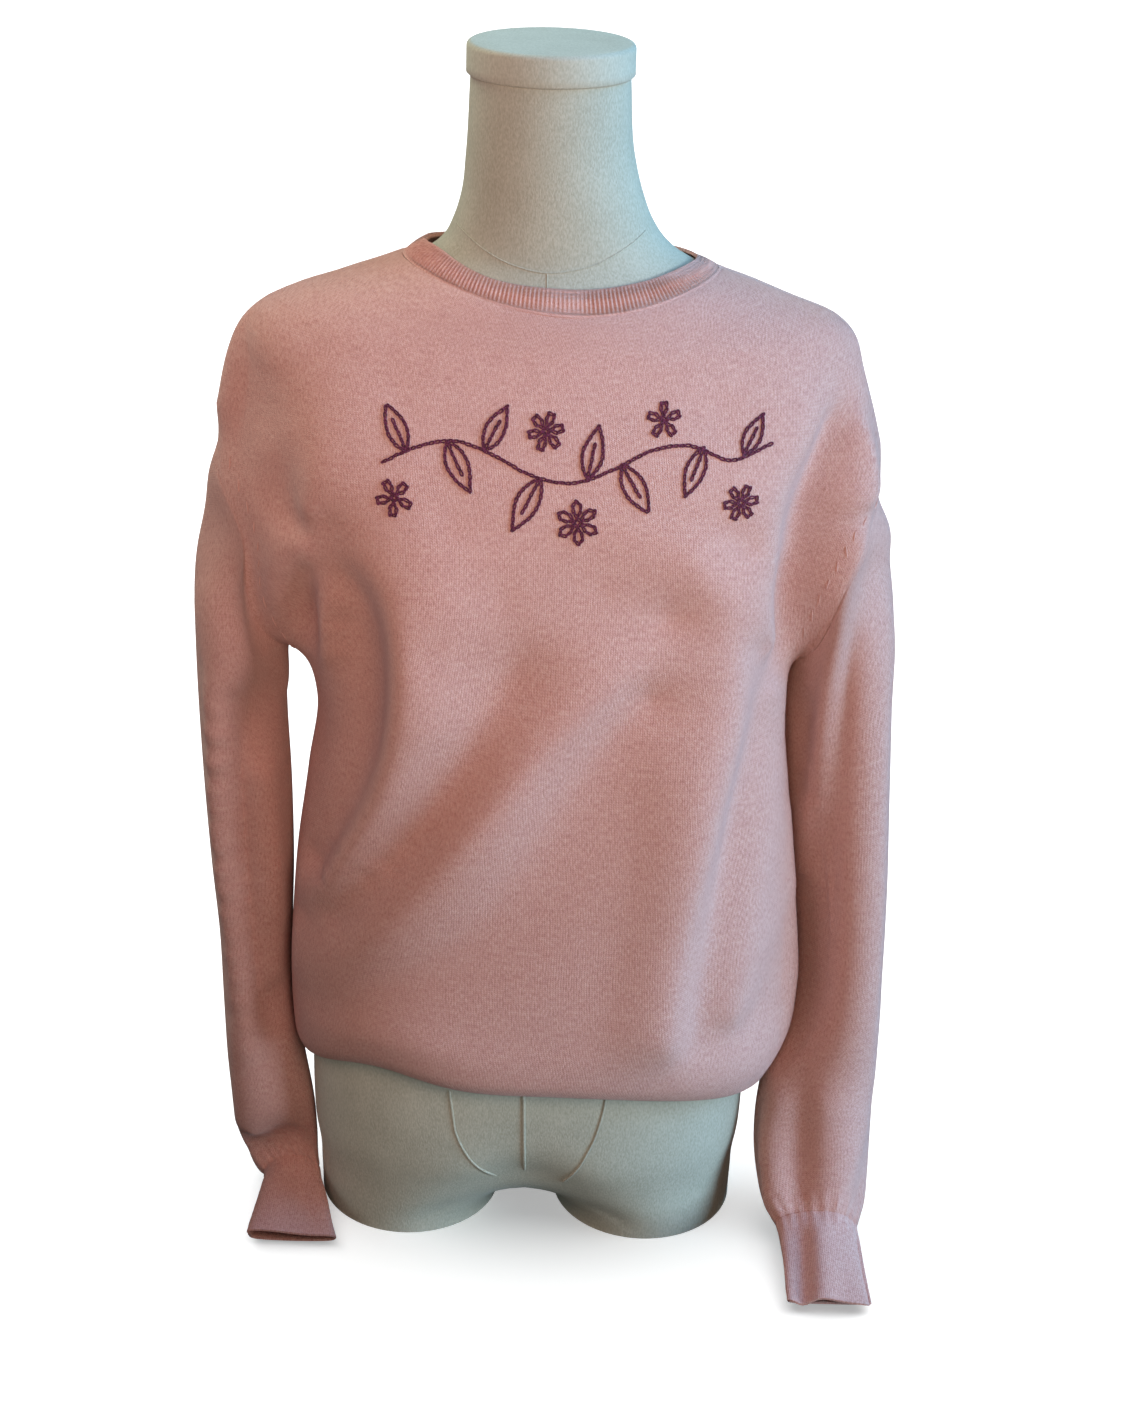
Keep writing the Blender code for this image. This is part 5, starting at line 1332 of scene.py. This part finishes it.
class SWEATER_OT_sleeves(bpy.types.Operator):
    """Build both sleeves and their rib cuffs"""
    bl_idname = "sweater.sleeves"
    bl_label = "Sleeves and Cuffs"

    def execute(self, context):
        look = context.scene.sweater_cloth
        cloth = garment(look.fold_strength)
        jersey, rib = bpy.data.materials["cashmere_jersey_brushed"], rib_knit(look)
        for side, word, *_ in SIDES:
            grid = seam_dip(cloth["sleeve_" + word], True, side, rows=(0, -1))
            sleeve = cloth_object("knit_sleeve_" + word, grid, look.wall, True, side, ARMHOLE_ROWS // 2)
            finish_piece(sleeve, jersey, "wool", "sweater_sleeve_" + word)
            cuff = cloth_object("knit_cuff_" + word, cloth["cuff_" + word], look.wall, True, side)
            finish_piece(cuff, rib, "rib", "sweater_cuff_" + word)
        return {"FINISHED"}


class SWEATER_OT_bands(bpy.types.Operator):
    """Build the rib neckband and the rib hem band that is turned up inside"""
    bl_idname = "sweater.bands"
    bl_label = "Neckband and Hem Band"

    def execute(self, context):
        look = context.scene.sweater_cloth
        cloth = garment(look.fold_strength)
        rib = bpy.data.materials["cashmere_rib_1x1"]
        neck = neckband_grid(cloth["neckline"], look.rib_pitch)
        hem = hem_band_grid(cloth["hemline"], look.rib_pitch * 1.2)
        for word, grid, wall, sign in (("neckband", neck, look.rib_wall, 1),
                                       ("hem_band", hem, look.wall, -1)):
            band = cloth_object("knit_" + word, grid, wall, True, sign)
            finish_piece(band, rib, "rib", "sweater_" + word)
        return {"FINISHED"}


class SWEATER_OT_marks(bpy.types.Operator):
    """Build the fashioning marks beside the armhole seams"""
    bl_idname = "sweater.marks"
    bl_label = "Fashioning Marks"

    def execute(self, context):
        cloth = garment(context.scene.sweater_cloth.fold_strength)
        open_rows = slice(cloth["open_rows"].start + 3, cloth["open_rows"].stop - 3)
        lift = np.array([0.0001, 0.0004, 0.0001])[:, None]
        runs = []
        for word, ends in (("front", (1, -1)), ("back", (-1, 1))):
            for step in ends:
                rows = cloth[word][open_rows, ::step]
                normals = grid_normals(cloth[word], False)[open_rows, ::step]
                for r in range(0, len(rows) - 3, MARK_ROWS):
                    away = np.cumsum(np.linalg.norm(np.diff(rows[r], axis=0), axis=1))
                    c, d = 1 + np.searchsorted(away, (MARK_INSET, MARK_INSET + MARK_SLANT))
                    path = np.stack([rows[r, c], (rows[r, c] + rows[r + 3, d]) / 2, rows[r + 3, d]])
                    runs.append((path + normals[r, c] * lift, normals[r, c]))
        marks = tube_object("fashioning_marks", runs, 0.0006, sides=5)
        finish_piece(marks, bpy.data.materials["cashmere_jersey_brushed"], "wool")
        return {"FINISHED"}


class SWEATER_OT_embroidery(bpy.types.Operator):
    """Chain-stitch a trailing branch with leaves and daisies across the chest"""
    bl_idname = "sweater.embroidery"
    bl_label = "Embroidery"

    def execute(self, context):
        stitch = context.scene.sweater_embroidery
        front = garment(context.scene.sweater_cloth.fold_strength)["front"]
        rows, columns = front.shape[:2]
        quads = [(r * columns + c, r * columns + c + 1, (r + 1) * columns + c + 1, (r + 1) * columns + c)
                 for r in range(rows // 2, rows - 1) for c in range(columns - 1)]
        chest = BVHTree.FromPolygons(front.reshape(-1, 3).tolist(), quads)
        lines = [through(BRANCH, 200)]
        for leaf in LEAVES:
            lines += leaf_lines(*leaf)
        for daisy in DAISIES:
            lines += daisy_lines(*daisy)
        dice = np.random.default_rng(11)
        runs = []
        turn = np.linspace(0.0, 2.0 * math.pi, 14, endpoint=False)
        for ends in stitched(lines, stitch.pitch):
            for a, b in zip(ends[:-1], ends[1:]):
                ahead, side = directions(math.atan2(*(b - a)[::-1]))
                long = np.linalg.norm(b - a) * 1.22     # each stitch reaches into the next
                share = 0.5 - 0.5 * np.cos(turn)
                width = stitch.width * dice.uniform(0.88, 1.08)
                across = (width / 2 - stitch.yarn) * np.sin(turn) * (0.35 + 0.75 * share)
                flat = a + np.outer(share * long, ahead) + np.outer(across, side)
                flat += side * dice.uniform(-0.0002, 0.0002)
                lift = 0.00025 + 0.0006 * share         # and lies on top of it
                path, normals = [], []
                for (x, z), h in zip(flat, lift):
                    hit, normal, *_ = chest.ray_cast(Vector((x, -1.0, z)), Vector((0.0, 1.0, 0.0)))
                    if hit is None:
                        raise RuntimeError("a stitch misses the chest")
                    normal = normal if normal.y < 0 else -normal
                    path.append(np.array(hit) + np.array(normal) * h)
                    normals.append(np.array(normal))
                runs.append((np.array(path), np.array(normals)))
        work = tube_object("chain_stitch_embroidery", runs, stitch.yarn, sides=6, closed=True)
        finish_piece(work, plum_yarn(), "wool")
        return {"FINISHED"}


class SWEATER_OT_studio(bpy.types.Operator):
    """Lay the white floor and set the studio lights"""
    bl_idname = "sweater.studio"
    bl_label = "Studio"

    def execute(self, context):
        look = context.scene.sweater_studio
        size = 30.0
        floor = mesh_object("studio_floor", [(-size, -size, 0.0), (size, -size, 0.0), (size, size, 0.0),
                                             (-size, size, 0.0)], [(0, 1, 2, 3)])
        floor.data.materials.append(white_board(look))
        # The floor is lit by its own soft overhead light, so that the room's
        # coloured lights leave it white. The left cuff lies in the form's shade,
        # out of reach of the daylight and the back lamp. One lamp lights the form alone.
        cuff = bpy.data.objects["knit_cuff_left"]
        groups = {}
        covers = [piece for piece in bpy.data.objects if piece.name.startswith("form_")]
        for name, pieces, state in (("apart", [floor], "EXCLUDE"), ("shaded", [floor, cuff], "EXCLUDE"),
                                    ("alone", [floor], "INCLUDE"), ("form", covers, "INCLUDE")):
            groups[name] = bpy.data.collections.new("light_" + name)
            for piece in pieces:
                groups[name].objects.link(piece)
            for member in groups[name].collection_objects:
                member.light_linking.link_state = state
        # Each light: a sun's angle in degrees or a lamp's width in metres stands after its
        # place, and what it lights stands last.
        for name, kind, place, size, strength, colour, receivers in (
                ("daylight", "SUN", (0.89, -0.44, 0.09), 32.0, look.day_strength, "#c4e9ff", "shaded"),
                ("window", "SUN", (0.82, 0.0, 0.57), 45.0, look.window_strength, "#76c6ff", "apart"),
                ("front_fill", "AREA", (-0.52, -0.66, 1.02), 0.6, look.lamp_power * 0.21, "#ffd2c8", "apart"),
                ("chest_lamp", "AREA", (0.12, -1.05, 0.85), 0.6, look.lamp_power * 0.43, "#ffe4cc", "apart"),
                ("back_lamp", "AREA", (-0.60, 0.40, 1.45), 0.6, look.lamp_power * 0.90, "#e2ecd6", "shaded"),
                ("side_lamp", "AREA", (-1.00, 0.0, 1.30), 0.6, look.lamp_power * 0.08, "#a8dcff", "apart"),
                ("stump_lamp", "AREA", (-0.45, -0.55, 0.12), 0.3, look.lamp_power * 0.05, "#f0ffff", "form"),
                ("floor_light", "SUN", (0.08, 0.30, 0.95), 110.0, look.floor_strength, "#ffffff", "alone"),
        ):
            lamp = bpy.data.lights.new(name, kind)
            lamp.energy, lamp.color = strength, linear(colour)[:3]
            if kind == "SUN":
                lamp.angle = math.radians(size)
            else:
                lamp.shape, lamp.size = "DISK", size
            light = bpy.data.objects.new(name, lamp)
            light.location = place
            aim = Vector((0.0, 0.0, 0.45 if kind == "AREA" else 0.0))
            light.rotation_euler = (aim - Vector(place)).to_track_quat("-Z", "Y").to_euler()
            light.light_linking.receiver_collection = groups[receivers]
            context.scene.collection.objects.link(light)
        # The air throws a little cool light on the piece, and is a white wall behind it.
        world = bpy.data.worlds.new("studio_air")
        world.use_nodes = True
        context.scene.world = world
        tree = world.node_tree
        tree.nodes.clear()
        air, wall = (add_node(tree, "ShaderNodeBackground", {"Color": linear(colour), "Strength": strength})
                     for colour, strength in (("#a5e1ff", look.air_strength), ("#ffffff", 1.0)))
        seen = add_node(tree, "ShaderNodeLightPath").outputs["Is Camera Ray"]
        both = add_node(tree, "ShaderNodeMixShader", {0: seen, 1: air.outputs[0], 2: wall.outputs[0]})
        add_node(tree, "ShaderNodeOutputWorld", {"Surface": both.outputs[0]})
        context.scene.view_settings.view_transform = "Standard"
        return {"FINISHED"}


class SWEATER_PT_panel(bpy.types.Panel):
    """The sweater's pieces and their settings"""
    bl_idname = "SWEATER_PT_panel"
    bl_label = "Sweater on a Dress Form"
    bl_space_type = "VIEW_3D"
    bl_region_type = "UI"
    bl_category = "Sweater"

    def draw(self, context):
        layout = self.layout
        for group in ("sweater_cloth", "sweater_embroidery", "sweater_studio"):
            settings = getattr(context.scene, group)
            box = layout.box()
            for name in settings.__annotations__:
                box.prop(settings, name)
        for operator in OPERATORS:
            layout.operator(operator.bl_idname)


OPERATORS = (SWEATER_OT_camera, SWEATER_OT_form, SWEATER_OT_body, SWEATER_OT_sleeves, SWEATER_OT_bands,
             SWEATER_OT_marks, SWEATER_OT_embroidery, SWEATER_OT_studio)
GROUPS = {"sweater_cloth": SWEATER_PG_cloth, "sweater_embroidery": SWEATER_PG_embroidery,
          "sweater_studio": SWEATER_PG_studio}


def register():
    for kind in (*GROUPS.values(), *OPERATORS, SWEATER_PT_panel):
        bpy.utils.register_class(kind)
    for name, group in GROUPS.items():
        setattr(bpy.types.Scene, name, bpy.props.PointerProperty(type=group))


def unregister():
    for name in GROUPS:
        delattr(bpy.types.Scene, name)
    for kind in (SWEATER_PT_panel, *reversed(OPERATORS), *GROUPS.values()):
        bpy.utils.unregister_class(kind)


def main():
    register()
    for piece in ("camera", "form", "body", "sleeves", "bands", "marks", "embroidery", "studio"):
        getattr(bpy.ops.sweater, piece)()
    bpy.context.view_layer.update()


if __name__ == "__main__":
    main()
